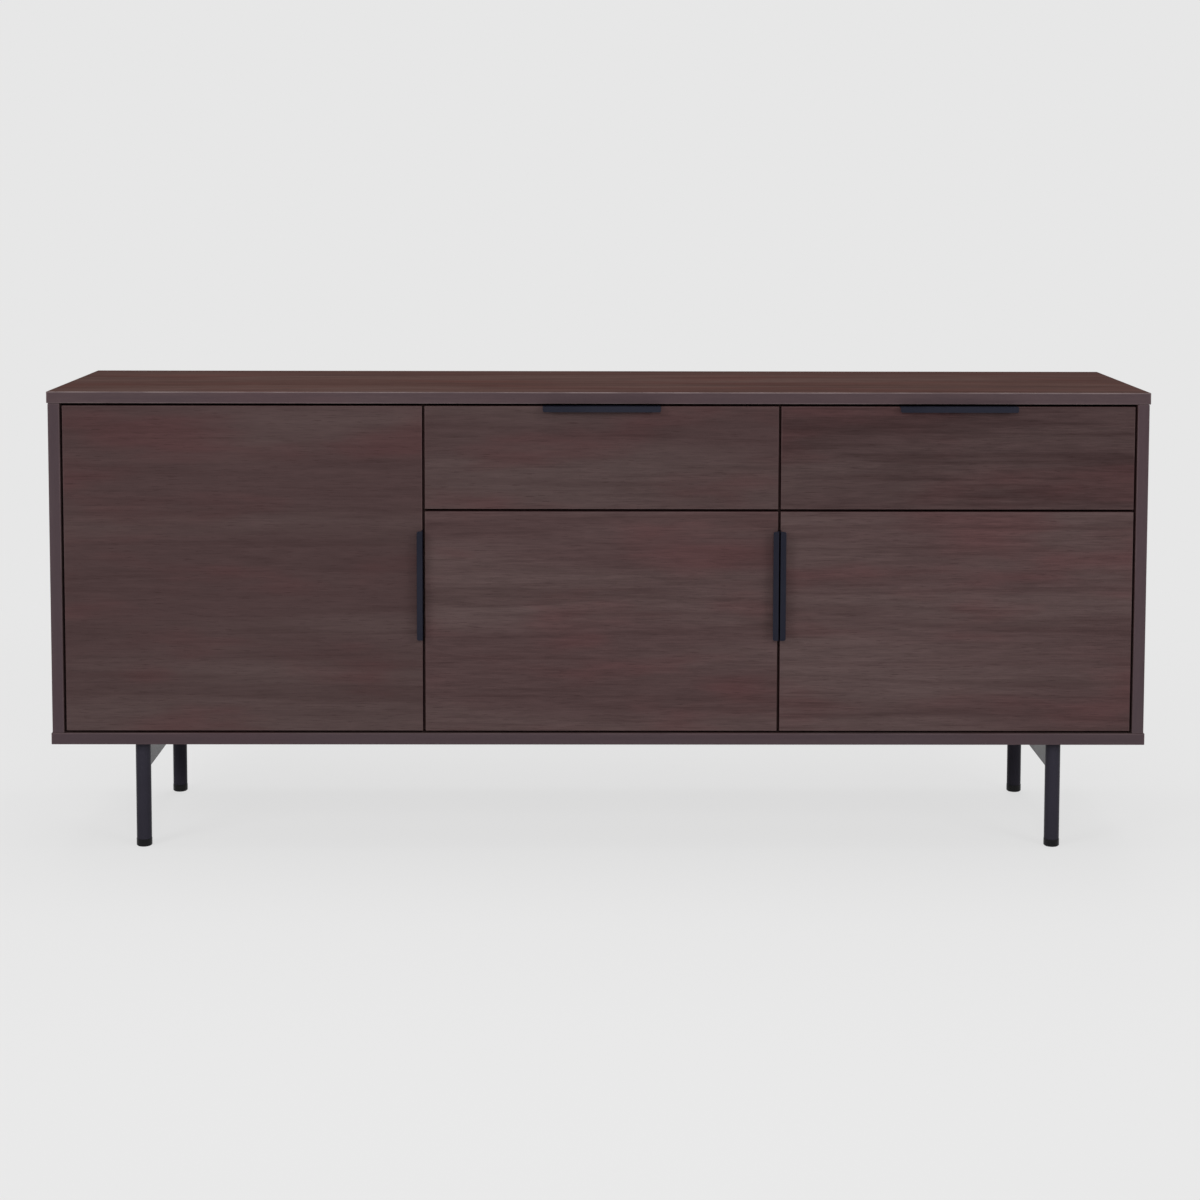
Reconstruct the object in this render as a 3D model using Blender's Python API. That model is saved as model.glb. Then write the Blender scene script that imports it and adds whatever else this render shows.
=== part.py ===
"""Sideboard: an inset-front cabinet on a steel leg frame, one tall door, two small doors and two drawers.

Frame: metres, +X along the front to the right, +Y to the back, +Z up. The origin lies on the floor under the
middle of the whole object, handles included, so the fronts face -Y.
"""

import math

import bmesh
import bpy
from mathutils import Matrix, Vector

# Overall sizes
WIDTH = 1.800
CARCASS_DEPTH = 0.400
HEIGHT = 0.760
BODY_HEIGHT = 0.583

# Boards
BOARD = 0.019
SIDE_SET_IN = 0.002
EDGE_ROUNDING = 0.0009
FIT = 0.0003
CUTTER_MARGIN = 0.0024

# Fronts
FRONT_THICKNESS = 0.019
FRONT_SETBACK = 0.001
FRONT_GAP = 0.004
SMALL_FRONT_WIDTH = 0.578
DRAWER_FRONT_HEIGHT = 0.169
STOP_GAP = 0.0025

# Back and shelves
BACK_THICKNESS = 0.005
BACK_SET_IN = 0.003
SHELF_THICKNESS = 0.016
SHELF_SETBACK = 0.030
SHELF_SIDE_GAP = 0.0015
PIN_RADIUS = 0.0025
PIN_REACH = 0.009
PIN_INSET = 0.045
PIN_HOLE_DEPTH = 0.008
PIN_HOLE_PITCH = 0.032

# Edge pulls
DOOR_PULL_LENGTH = 0.180
DRAWER_PULL_LENGTH = 0.192
PULL_SHEET = 0.0015
PULL_RECESS = 0.0012
PULL_REACH = 0.014
PULL_LIP = 0.009
PULL_CORNER = 0.003
PULL_SCREW_SPACING = 0.128
PULL_PROUD = PULL_SHEET - PULL_RECESS + FIT
DOOR_PULL_DROP = 0.121

# Holes for countersunk wood screws
SCREW_RADIUS = 0.00165
SCREW_HEAD_RADIUS = 0.0031
SCREW_HEAD_TAPER = 0.0012

# Concealed hinges
AXIS_INSET = 0.006
AXIS_DEPTH = 0.006
HINGE_INSET = 0.080
CUP_RADIUS = 0.0172
CUP_DEPTH = 0.0115
CUP_WALL = 0.001
CUP_OVERLAP = 0.0005
CUP_CENTRE = 0.0225
CUP_RIM_RADIUS = 0.019
CUP_RIM = 0.001
CUP_WING_WIDTH = 0.014
CUP_WING_REACH = 0.027
CUP_DOWEL_RADIUS = 0.004
CUP_DOWEL_DEPTH = 0.010
CUP_DOWEL_OFFSET = 0.0225
NOSE_START = 0.0155
NOSE_WIDTH = 0.005
NOSE_DEPTH = 0.003
ARM_THICKNESS = 0.006
ARM_HEIGHT = 0.012
CRANK_START = 0.017
CRANK_WIDTH = 0.008
ARM_LENGTH = 0.070
PLATE_THICKNESS = 0.003
PLATE_START = 0.030
PLATE_LENGTH = 0.056
PLATE_HEIGHT = 0.016
PLATE_WING = 0.022
PLATE_WING_LENGTH = 0.014
PLATE_SCREW_OFFSET = 0.016
PLATE_SCREW_DEPTH = 0.040
PLATE_OVERLAP = 0.0005

# Drawer boxes
DRAWER_SIDE = 0.012
DRAWER_DEPTH = 0.350
DRAWER_HEIGHT = 0.120
DRAWER_LIFT = 0.012
DRAWER_BOTTOM = 0.004
DRAWER_GROOVE = 0.006
DRAWER_BOTTOM_LIFT = 0.010

# Drawer slides
SLIDE_LENGTH = 0.350
SLIDE_SPACE = 0.0127
SLIDE_SHEET = 0.0012
SLIDE_HEIGHT = 0.045
SLIDE_RUNNING_GAP = 0.0006
CABINET_MEMBER_DEPTH = 0.0095
MIDDLE_MEMBER_DEPTH = 0.0070
DRAWER_MEMBER_DEPTH = 0.0084

# Leg frame
LEG_RADIUS = 0.0125
LEG_WALL = 0.0015
LEG_END_INSET = 0.145
LEG_SETBACK = 0.030
RAIL_WIDTH = 0.020
RAIL_HEIGHT = 0.045
RAIL_WALL = 0.0015
RAIL_SCREW_INSET = 0.060
RAIL_ACCESS_RADIUS = 0.005
GLIDE_HEIGHT = 0.012
GLIDE_RADIUS = 0.0129
GLIDE_CHAMFER = 0.0015
GLIDE_STEM = 0.012

# Facets
FINE_SEGMENTS = 24
CUP_SEGMENTS = 20
SMALL_SEGMENTS = 10
RIM_STEPS = 6
PULL_CORNER_STEPS = 4
SHARP_ANGLE = 35

# Places worked out from the sizes
TOP_Z = HEIGHT - BOARD
UNDERSIDE_Z = HEIGHT - BODY_HEIGHT
FLOOR_Z = UNDERSIDE_Z + BOARD
FRONT_Y = -(CARCASS_DEPTH + PULL_REACH - FRONT_SETBACK) / 2 + PULL_REACH - FRONT_SETBACK
BACK_Y = FRONT_Y + CARCASS_DEPTH
FACE_Y = FRONT_Y + FRONT_SETBACK
FACE_BACK_Y = FACE_Y + FRONT_THICKNESS
INSIDE_FRONT_Y = FACE_BACK_Y + STOP_GAP
BACK_PANEL_Y = BACK_Y - BACK_SET_IN - BACK_THICKNESS
INSIDE_BACK_Y = BACK_PANEL_Y - FIT
SIDE_OUTER_X = WIDTH / 2 - SIDE_SET_IN
SIDE_INNER_X = SIDE_OUTER_X - BOARD
FRONT_TOP_Z = TOP_Z - FRONT_GAP
FRONT_BOTTOM_Z = FLOOR_Z + FRONT_GAP
DRAWER_FRONT_Z = FRONT_TOP_Z - DRAWER_FRONT_HEIGHT
SMALL_DOOR_TOP_Z = DRAWER_FRONT_Z - FRONT_GAP
RIGHT_FRONT_X = SIDE_INNER_X - FRONT_GAP - SMALL_FRONT_WIDTH
MIDDLE_FRONT_X = RIGHT_FRONT_X - FRONT_GAP - SMALL_FRONT_WIDTH
LEFT_DIVIDER_X = MIDDLE_FRONT_X - FRONT_GAP / 2
RIGHT_DIVIDER_X = RIGHT_FRONT_X - FRONT_GAP / 2
DECK_Z = SMALL_DOOR_TOP_Z + FRONT_GAP / 2
DECK_TOP_Z = DECK_Z + BOARD / 2
DECK_BOTTOM_Z = DECK_Z - BOARD / 2
SHELF_FRONT_Y = INSIDE_FRONT_Y + SHELF_SETBACK
TALL_SHELF_Z = (FLOOR_Z + TOP_Z - SHELF_THICKNESS) / 2
SMALL_SHELF_Z = (FLOOR_Z + DECK_BOTTOM_Z - SHELF_THICKNESS) / 2
DRAWER_Z = DECK_TOP_Z + DRAWER_LIFT
SLIDE_Z = DRAWER_Z + DRAWER_HEIGHT / 2
SLIDE_START_Y = INSIDE_FRONT_Y + FIT
LEG_X = WIDTH / 2 - LEG_END_INSET
FRONT_LEG_Y = FRONT_Y + LEG_SETBACK
REAR_LEG_Y = BACK_Y - LEG_SETBACK
LEG_TOP_Z = UNDERSIDE_Z - FIT

X_AXIS = Vector((1, 0, 0))
Y_AXIS = Vector((0, 1, 0))
Z_AXIS = Vector((0, 0, 1))

# Columns: name, left wall, right wall of the space behind the fronts
COLUMNS = {
    "left": (-SIDE_INNER_X, LEFT_DIVIDER_X - BOARD / 2),
    "middle": (LEFT_DIVIDER_X + BOARD / 2, RIGHT_DIVIDER_X - BOARD / 2),
    "right": (RIGHT_DIVIDER_X + BOARD / 2, SIDE_INNER_X),
}

# Doors: left edge, right edge, top, hinge side (+1 hangs on its left edge)
# and the wall that carries the hinge
DOORS = {
    "left": (-SIDE_INNER_X + FRONT_GAP, MIDDLE_FRONT_X - FRONT_GAP, FRONT_TOP_Z, 1, -SIDE_INNER_X),
    "middle": (MIDDLE_FRONT_X, RIGHT_FRONT_X - FRONT_GAP, SMALL_DOOR_TOP_Z, 1, COLUMNS["middle"][0]),
    "right": (RIGHT_FRONT_X, SIDE_INNER_X - FRONT_GAP, SMALL_DOOR_TOP_Z, -1, SIDE_INNER_X),
}

# Drawers: left and right edge of the front
DRAWERS = {
    "middle": (MIDDLE_FRONT_X, RIGHT_FRONT_X - FRONT_GAP),
    "right": (RIGHT_FRONT_X, SIDE_INNER_X - FRONT_GAP),
}

# Base colour, roughness and metallic value of each finish
FINISHES = {
    "walnut": ((0.076, 0.048, 0.046), 0.55, 0.0),
    "lining": ((0.085, 0.058, 0.052), 0.65, 0.0),
    "backing": ((0.060, 0.045, 0.042), 0.75, 0.0),
    "black_steel": ((0.020, 0.021, 0.025), 0.45, 0.0),
    "blue_black": ((0.017, 0.020, 0.031), 0.42, 0.0),
    "zinc": ((0.560, 0.570, 0.580), 0.32, 1.0),
    "nickel": ((0.620, 0.600, 0.570), 0.28, 1.0),
    "black_plastic": ((0.012, 0.012, 0.013), 0.50, 0.0),
}


def clear_scene():
    """Removes whatever the scene holds."""
    for old in list(bpy.data.objects):
        bpy.data.objects.remove(old, do_unlink=True)


def make_material(name, finish):
    """A plain finish of its own for one sub-part."""
    colour, roughness, metallic = FINISHES[finish]
    material = bpy.data.materials.new(name)
    material.use_nodes = True
    shader = material.node_tree.nodes["Principled BSDF"]
    shader.inputs["Base Color"].default_value = (*colour, 1.0)
    shader.inputs["Roughness"].default_value = roughness
    shader.inputs["Metallic"].default_value = metallic
    return material


def block(low, high):
    """A box between two corners."""
    mesh = bmesh.new()
    low, high = Vector(low), Vector(high)
    place = Matrix.Translation((low + high) / 2) @ Matrix.Diagonal((*(high - low), 1.0))
    bmesh.ops.create_cube(mesh, size=1.0, matrix=place)
    return mesh


def prism(outline, along):
    """A flat outline of points, carried along a vector."""
    mesh = bmesh.new()
    face = mesh.faces.new([mesh.verts.new(point) for point in outline])
    moved = bmesh.ops.extrude_face_region(mesh, geom=[face], use_keep_orig=True)
    tops = [item for item in moved["geom"] if isinstance(item, bmesh.types.BMVert)]
    bmesh.ops.translate(mesh, verts=tops, vec=Vector(along))
    return mesh


def turned(base, axis, profile, segments, mesh=None):
    """A turned solid: profile holds (radius, distance along axis) pairs from one end face to the other."""
    mesh = mesh or bmesh.new()
    side = axis.orthogonal().normalized()
    other = axis.cross(side)
    angles = [2 * math.pi * (step + 0.5) / segments for step in range(segments)]
    spokes = [side * math.cos(angle) + other * math.sin(angle) for angle in angles]
    rings = []
    for radius, distance in profile:
        centre = Vector(base) + axis * distance
        rings.append([mesh.verts.new(centre + spoke * radius) for spoke in spokes])
    for near, far in zip(rings, rings[1:]):
        for step in range(segments):
            following = (step + 1) % segments
            mesh.faces.new([near[step], near[following], far[following], far[step]])
    mesh.faces.new(rings[0])
    mesh.faces.new(rings[-1])
    return mesh


def rod(base, axis, radius, start, end, segments, mesh=None):
    """A round rod along axis from start to end, counted from base."""
    return turned(base, axis, [(radius, start), (radius, end)], segments, mesh)


def screw_hole(head, into, thickness):
    """The cutter for a countersunk screw hole in a sheet. head is on its face, into points inward."""
    profile = (
        (SCREW_HEAD_RADIUS + FIT, -FIT),
        (SCREW_HEAD_RADIUS + FIT, FIT),
        (SCREW_RADIUS + FIT, SCREW_HEAD_TAPER),
        (SCREW_RADIUS + FIT, thickness + FIT),
    )
    return turned(head, into, profile, SMALL_SEGMENTS)


def mesh_data(name, mesh, origin):
    """Mesh data about origin from a bmesh in world coordinates, with its faces pointing out."""
    bmesh.ops.recalc_face_normals(mesh, faces=mesh.faces)
    bmesh.ops.translate(mesh, verts=mesh.verts, vec=-origin)
    data = bpy.data.meshes.new(name)
    mesh.to_mesh(data)
    mesh.free()
    return data


def make_part(name, mesh, finish, axis=None, rounding=0.0):
    """One named sub-part from a bmesh in world coordinates, on its joint's empty if it moves."""
    base = Vector(axis.location) if axis else Vector((0, 0, 0))
    data = mesh_data(name, mesh, base)
    data.materials.append(make_material(f"{name}_finish", finish))
    data.shade_smooth()
    data.set_sharp_from_angle(angle=math.radians(SHARP_ANGLE))
    part = bpy.data.objects.new(name, data)
    bpy.context.scene.collection.objects.link(part)
    part.parent = axis
    if rounding:
        bevel = part.modifiers.new("edge_rounding", "BEVEL")
        bevel.width = rounding
        bevel.segments = 2
        bevel.limit_method = "ANGLE"
    return part


def shape_with(part, mesh, operation="DIFFERENCE"):
    """Cuts a bmesh in world coordinates out of a part, or joins it on, through a hidden helper."""
    base = Vector(part.parent.location) if part.parent else Vector((0, 0, 0))
    data = mesh_data(f"{part.name}_helper_{len(part.modifiers)}", mesh, base)
    helper = bpy.data.objects.new(data.name, data)
    bpy.context.scene.collection.objects.link(helper)
    helper.parent = part.parent
    helper.hide_render = True
    helper.display_type = "WIRE"
    boolean = part.modifiers.new(f"{operation.lower()}_{len(part.modifiers)}", "BOOLEAN")
    boolean.operation = operation
    boolean.object = helper


def make_axis(name, place):
    """An empty on a joint axis, which carries the pieces that move with the joint."""
    axis = bpy.data.objects.new(name, None)
    axis.empty_display_size = 0.03
    bpy.context.scene.collection.objects.link(axis)
    axis.location = place
    return axis


def board(name, low, high, finish="walnut", axis=None, rounding=EDGE_ROUNDING):
    """One rectangular board with lightly rounded edges."""
    return make_part(name, block(low, high), finish, axis, rounding)


def pin_places(wall):
    """The Y and Z of the shelf pins on one wall face."""
    shelf_heights = {"left": TALL_SHELF_Z, "middle": SMALL_SHELF_Z, "right": SMALL_SHELF_Z}
    places = []
    for column, walls in COLUMNS.items():
        if wall in walls:
            for y in (SHELF_FRONT_Y + PIN_INSET, INSIDE_BACK_Y - PIN_INSET):
                places.append((y, shelf_heights[column] - FIT - PIN_RADIUS))
    return places


def fit_pins(panel, wall, inward):
    """The shelf pins of one wall face, and a spare hole above and below each. inward is +1 or -1."""
    holes = bmesh.new()
    for y, z in pin_places(wall):
        root = Vector((wall, y, z))
        pin = rod(root, X_AXIS * inward, PIN_RADIUS, -PIN_RADIUS, PIN_REACH, SMALL_SEGMENTS)
        shape_with(panel, pin, "UNION")
        for step in (-1, 1):
            base = root + Z_AXIS * PIN_HOLE_PITCH * step
            rod(base, X_AXIS * -inward, PIN_RADIUS, -FIT, PIN_HOLE_DEPTH, SMALL_SEGMENTS, holes)
    shape_with(panel, holes)


def build_carcass():
    """Top, bottom, sides, dividers, decks, back and shelves."""
    board("top_panel", (-WIDTH / 2, FRONT_Y, TOP_Z), (WIDTH / 2, BACK_Y, HEIGHT))
    board("bottom_panel", (-WIDTH / 2, FRONT_Y, UNDERSIDE_Z), (WIDTH / 2, BACK_Y, FLOOR_Z))

    for name, side in (("left_side_panel", -1), ("right_side_panel", 1)):
        edges = sorted((side * SIDE_OUTER_X, side * SIDE_INNER_X))
        low = (edges[0], FRONT_Y, FLOOR_Z + FIT)
        panel = board(name, low, (edges[1], BACK_Y, TOP_Z - FIT))
        fit_pins(panel, side * SIDE_INNER_X, -side)

    dividers = (("left_divider", "left", "middle"), ("right_divider", "middle", "right"))
    for name, column_before, column_after in dividers:
        wall_before, wall_after = COLUMNS[column_before][1], COLUMNS[column_after][0]
        low = (wall_before, INSIDE_FRONT_Y, FLOOR_Z + FIT)
        divider = board(name, low, (wall_after, INSIDE_BACK_Y, TOP_Z - FIT), "lining")
        fit_pins(divider, wall_before, -1)
        fit_pins(divider, wall_after, 1)

    for name in DRAWERS:
        left, right = COLUMNS[name]
        low = (left + FIT, INSIDE_FRONT_Y, DECK_BOTTOM_Z)
        board(f"{name}_drawer_deck", low, (right - FIT, INSIDE_BACK_Y, DECK_TOP_Z), "lining")

    low = (-SIDE_INNER_X + FIT, BACK_PANEL_Y, FLOOR_Z + FIT)
    high = (SIDE_INNER_X - FIT, BACK_PANEL_Y + BACK_THICKNESS, TOP_Z - FIT)
    board("back_panel", low, high, "backing", rounding=0.0)

    for name, height in (("left", TALL_SHELF_Z), ("middle", SMALL_SHELF_Z), ("right", SMALL_SHELF_Z)):
        left, right = COLUMNS[name]
        low = (left + SHELF_SIDE_GAP, SHELF_FRONT_Y, height)
        high = (right - SHELF_SIDE_GAP, INSIDE_BACK_Y, height + SHELF_THICKNESS)
        board(f"{name}_shelf", low, high, "lining")


def lip_outline(out, run, length):
    """The lip of a pull in the plane of the front, with its two free corners rounded.

    The points are relative to the middle of the edge. out points out of the edge, and run along it.
    """
    half = length / 2
    free = PULL_PROUD - PULL_LIP
    points = [out * PULL_PROUD - run * half, out * PULL_PROUD + run * half]
    for side in (1, -1):
        for step in range(PULL_CORNER_STEPS + 1):
            turn = step if side > 0 else PULL_CORNER_STEPS - step
            angle = math.pi / 2 * turn / PULL_CORNER_STEPS
            across = free + PULL_CORNER * (1 - math.sin(angle))
            along = half - PULL_CORNER * (1 - math.cos(angle))
            points.append(out * across + run * side * along)
    return points


def fit_pull(name, front, edge, out, run, length, axis):
    """One edge pull: a plate let into the edge of the front, and a lip that stands in front of its face.

    edge is the middle of that edge at the face, out points out of the edge, and run along it.
    """
    forward = -Y_AXIS
    half = length / 2
    behind = -FRONT_THICKNESS + FIT
    inner = PULL_PROUD - PULL_SHEET
    section = ((PULL_PROUD, behind), (PULL_PROUD, PULL_REACH), (inner, PULL_REACH), (inner, behind))
    plate = prism([edge + out * a + forward * b - run * half for a, b in section], run * length)
    pull = make_part(name, plate, "blue_black", axis)
    lip_back = edge + forward * (PULL_REACH - PULL_SHEET)
    lip = prism([lip_back + point for point in lip_outline(out, run, length)], forward * PULL_SHEET)
    shape_with(pull, lip, "UNION")

    for side in (-1, 1):
        head = edge + out * PULL_PROUD - forward * FRONT_THICKNESS / 2 + run * side * PULL_SCREW_SPACING / 2
        shape_with(pull, screw_hole(head, -out, PULL_SHEET))

    wide = half + FIT
    floor = -PULL_RECESS
    past = -FRONT_THICKNESS - CUTTER_MARGIN
    section = ((CUTTER_MARGIN, CUTTER_MARGIN), (CUTTER_MARGIN, past), (floor, past), (floor, CUTTER_MARGIN))
    shape_with(front, prism([edge + out * a + forward * b - run * wide for a, b in section], run * wide * 2))


def door_edge(door):
    """The X of a door's hinge-side edge."""
    left, right, _, side, _ = DOORS[door]
    return left if side > 0 else right


def hinge_heights(door):
    """The heights of a door's two hinges."""
    top = DOORS[door][2]
    return {"lower": FRONT_BOTTOM_Z + HINGE_INSET, "upper": top - HINGE_INSET}


def rim_outline(centre):
    """The rim of a hinge cup: a round with an upright wing above and below it."""
    half = CUP_WING_WIDTH / 2
    start = math.acos(half / CUP_RIM_RADIUS)
    points = []
    for flip in (1, -1):
        for step in range(RIM_STEPS + 1):
            angle = start * (2 * step / RIM_STEPS - 1)
            round_point = X_AXIS * math.cos(angle) + Z_AXIS * math.sin(angle)
            points.append(centre + round_point * CUP_RIM_RADIUS * flip)
        points.append(centre + (X_AXIS * half + Z_AXIS * CUP_WING_REACH) * flip)
        points.append(centre + (X_AXIS * -half + Z_AXIS * CUP_WING_REACH) * flip)
    return points


def fit_cup(name, door, z, panel, axis):
    """A hinge cup let into the back of a door, held by the two dowels under its wings."""
    x = door_edge(door) + DOORS[door][3] * CUP_CENTRE
    back = Vector((x, FACE_BACK_Y, z))
    cup = make_part(name, prism(rim_outline(back + Y_AXIS * FIT), Y_AXIS * CUP_RIM), "nickel", axis)
    top = FIT + CUP_OVERLAP
    bores = rod(back, -Y_AXIS, CUP_RADIUS + FIT, -FIT, CUP_DEPTH + FIT, CUP_SEGMENTS)
    shape_with(cup, rod(back, -Y_AXIS, CUP_RADIUS, -top, CUP_DEPTH, CUP_SEGMENTS), "UNION")
    for way in (-1, 1):
        place = back + Z_AXIS * way * CUP_DOWEL_OFFSET
        shape_with(cup, rod(place, -Y_AXIS, CUP_DOWEL_RADIUS, -top, CUP_DOWEL_DEPTH, SMALL_SEGMENTS), "UNION")
        dowel_bore = rod(place, -Y_AXIS, CUP_DOWEL_RADIUS + FIT, -FIT, CUP_DOWEL_DEPTH + FIT, SMALL_SEGMENTS)
        shape_with(panel, dowel_bore)
    inside = rod(back, -Y_AXIS, CUP_RADIUS - CUP_WALL, -CUTTER_MARGIN, CUP_DEPTH - CUP_WALL, CUP_SEGMENTS)
    shape_with(cup, inside)
    shape_with(panel, bores)


def build_door(door):
    """One door with its two hinge cups and its pull, on an empty at its hinge axis."""
    left, right, top, side, _ = DOORS[door]
    place = Vector((door_edge(door) + side * AXIS_INSET, FACE_Y + AXIS_DEPTH, (FRONT_BOTTOM_Z + top) / 2))
    axis = make_axis(f"{door}_door_axis", place)
    low = (left, FACE_Y, FRONT_BOTTOM_Z)
    panel = board(f"{door}_door", low, (right, FACE_BACK_Y, top), axis=axis)
    for height_name, z in hinge_heights(door).items():
        fit_cup(f"{door}_door_{height_name}_hinge_cup", door, z, panel, axis)
    free = right if side > 0 else left
    edge = Vector((free, FACE_Y, SMALL_DOOR_TOP_Z - DOOR_PULL_DROP))
    fit_pull(f"{door}_door_handle", panel, edge, X_AXIS * side, Z_AXIS, DOOR_PULL_LENGTH, axis)


def build_hinge_arm(name, door, z):
    """A hinge arm on its wall plate: it runs forward along the wall and cranks round into the cup."""
    side, wall = DOORS[door][3], DOORS[door][4]
    axis_x = door_edge(door) + side * AXIS_INSET
    axis_y = FACE_Y + AXIS_DEPTH
    plate_low = wall + side * FIT
    plate_high = plate_low + side * PLATE_THICKNESS
    arm_low = plate_high - side * PLATE_OVERLAP
    arm_high = plate_high + side * ARM_THICKNESS
    nose_low = axis_x + side * NOSE_START
    nose_high = nose_low + side * NOSE_WIDTH
    crank_front = axis_y + CRANK_START
    crank_back = crank_front + CRANK_WIDTH
    arm_back = crank_front + ARM_LENGTH
    outline = (
        (arm_low, arm_back),
        (arm_low, crank_front),
        (nose_low, crank_front),
        (nose_low, axis_y + NOSE_DEPTH),
        (nose_high, axis_y + NOSE_DEPTH),
        (nose_high, crank_back),
        (arm_high, crank_back),
        (arm_high, arm_back),
    )
    arm = prism([Vector((x, y, z - ARM_HEIGHT / 2)) for x, y in outline], Z_AXIS * ARM_HEIGHT)
    part = make_part(name, arm, "nickel")
    start = FACE_Y + PLATE_START
    wing = FACE_Y + PLATE_SCREW_DEPTH
    lower_half = (
        (start, -PLATE_HEIGHT / 2),
        (wing - PLATE_WING_LENGTH / 2, -PLATE_HEIGHT / 2),
        (wing - PLATE_WING_LENGTH / 2, -PLATE_WING),
        (wing + PLATE_WING_LENGTH / 2, -PLATE_WING),
        (wing + PLATE_WING_LENGTH / 2, -PLATE_HEIGHT / 2),
        (start + PLATE_LENGTH, -PLATE_HEIGHT / 2),
    )
    cross = list(lower_half) + [(y, -offset) for y, offset in reversed(lower_half)]
    section = [Vector((plate_low, y, z + offset)) for y, offset in cross]
    plate = prism(section, X_AXIS * (plate_high - plate_low))
    shape_with(part, plate, "UNION")
    for way in (-1, 1):
        head = Vector((plate_high, wing, z + way * PLATE_SCREW_OFFSET))
        shape_with(part, screw_hole(head, X_AXIS * -side, PLATE_THICKNESS))


def slide_section(web, height, depth, toward):
    """A slide member's section: a web at X = web and two flanges of the given depth that point toward."""
    half = height / 2
    sheet_x = web + SLIDE_SHEET * toward
    tip_x = web + depth * toward
    lower_half = (
        (web, -half),
        (tip_x, -half),
        (tip_x, -half + SLIDE_SHEET),
        (sheet_x, -half + SLIDE_SHEET),
    )
    section = list(lower_half) + [(x, -z) for x, z in reversed(lower_half)]
    return [Vector((x, SLIDE_START_Y, SLIDE_Z + z)) for x, z in section]


def build_slides(name, box_edges, drawer_axis):
    """The telescopic slide on each side of a drawer: cabinet, middle and drawer members, nested."""
    middle_axis = make_axis(f"{name}_drawer_slide_axis", (sum(box_edges) / 2, SLIDE_START_Y, SLIDE_Z))
    middle_height = SLIDE_HEIGHT - 2 * (SLIDE_SHEET + SLIDE_RUNNING_GAP)
    drawer_height = middle_height - 2 * (SLIDE_SHEET + SLIDE_RUNNING_GAP)
    run = Y_AXIS * SLIDE_LENGTH
    sides = (("left", COLUMNS[name][0], 1, box_edges[0]), ("right", COLUMNS[name][1], -1, box_edges[1]))
    for side_name, wall, inward, box_edge in sides:
        prefix = f"{name}_drawer_{side_name}_slide"
        web = wall + FIT * inward
        section = slide_section(web, SLIDE_HEIGHT, CABINET_MEMBER_DEPTH, inward)
        make_part(f"{prefix}_cabinet_member", prism(section, run), "zinc")
        web += (SLIDE_SHEET + SLIDE_RUNNING_GAP) * inward
        section = slide_section(web, middle_height, MIDDLE_MEMBER_DEPTH, inward)
        make_part(f"{prefix}_middle_member", prism(section, run), "zinc", middle_axis)
        section = slide_section(box_edge - FIT * inward, drawer_height, DRAWER_MEMBER_DEPTH, -inward)
        make_part(f"{prefix}_drawer_member", prism(section, run), "zinc", drawer_axis)


def build_drawer(name):
    """One drawer: its front with the pull, its box and its two slides."""
    left, right = DRAWERS[name]
    centre_x = (left + right) / 2
    axis = make_axis(f"{name}_drawer_axis", (centre_x, FACE_Y, SLIDE_Z))
    low = (left, FACE_Y, DRAWER_FRONT_Z)
    front = board(f"{name}_drawer_front", low, (right, FACE_BACK_Y, FRONT_TOP_Z), axis=axis)
    edge = Vector((centre_x, FACE_Y, FRONT_TOP_Z))
    fit_pull(f"{name}_drawer_handle", front, edge, Z_AXIS, X_AXIS, DRAWER_PULL_LENGTH, axis)

    box_edges = (COLUMNS[name][0] + SLIDE_SPACE, COLUMNS[name][1] - SLIDE_SPACE)
    start = FACE_BACK_Y + FIT
    end = start + DRAWER_DEPTH
    top = DRAWER_Z + DRAWER_HEIGHT
    groove_low = DRAWER_Z + DRAWER_BOTTOM_LIFT
    groove_high = groove_low + DRAWER_BOTTOM + 2 * FIT
    for side_name, outer, inward in (("left", box_edges[0], 1), ("right", box_edges[1], -1)):
        inner = outer + DRAWER_SIDE * inward
        groove = inner - DRAWER_GROOVE * inward
        section = (
            (outer, DRAWER_Z),
            (inner, DRAWER_Z),
            (inner, groove_low),
            (groove, groove_low),
            (groove, groove_high),
            (inner, groove_high),
            (inner, top),
            (outer, top),
        )
        side = prism([Vector((x, start, z)) for x, z in section], Y_AXIS * DRAWER_DEPTH)
        make_part(f"{name}_drawer_{side_name}_side", side, "lining", axis)

    inside_left = box_edges[0] + DRAWER_SIDE
    inside_right = box_edges[1] - DRAWER_SIDE
    tongue = DRAWER_GROOVE - FIT
    bottom_z = groove_low + FIT
    bottom_top_z = bottom_z + DRAWER_BOTTOM
    low = (inside_left - tongue, start, bottom_z)
    board(f"{name}_drawer_bottom", low, (inside_right + tongue, end, bottom_top_z), "backing", axis, 0.0)
    low = (inside_left + FIT, end - DRAWER_SIDE, bottom_top_z + FIT)
    board(f"{name}_drawer_back", low, (inside_right - FIT, end, top), "lining", axis, 0.0)
    build_slides(name, box_edges, axis)


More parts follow.
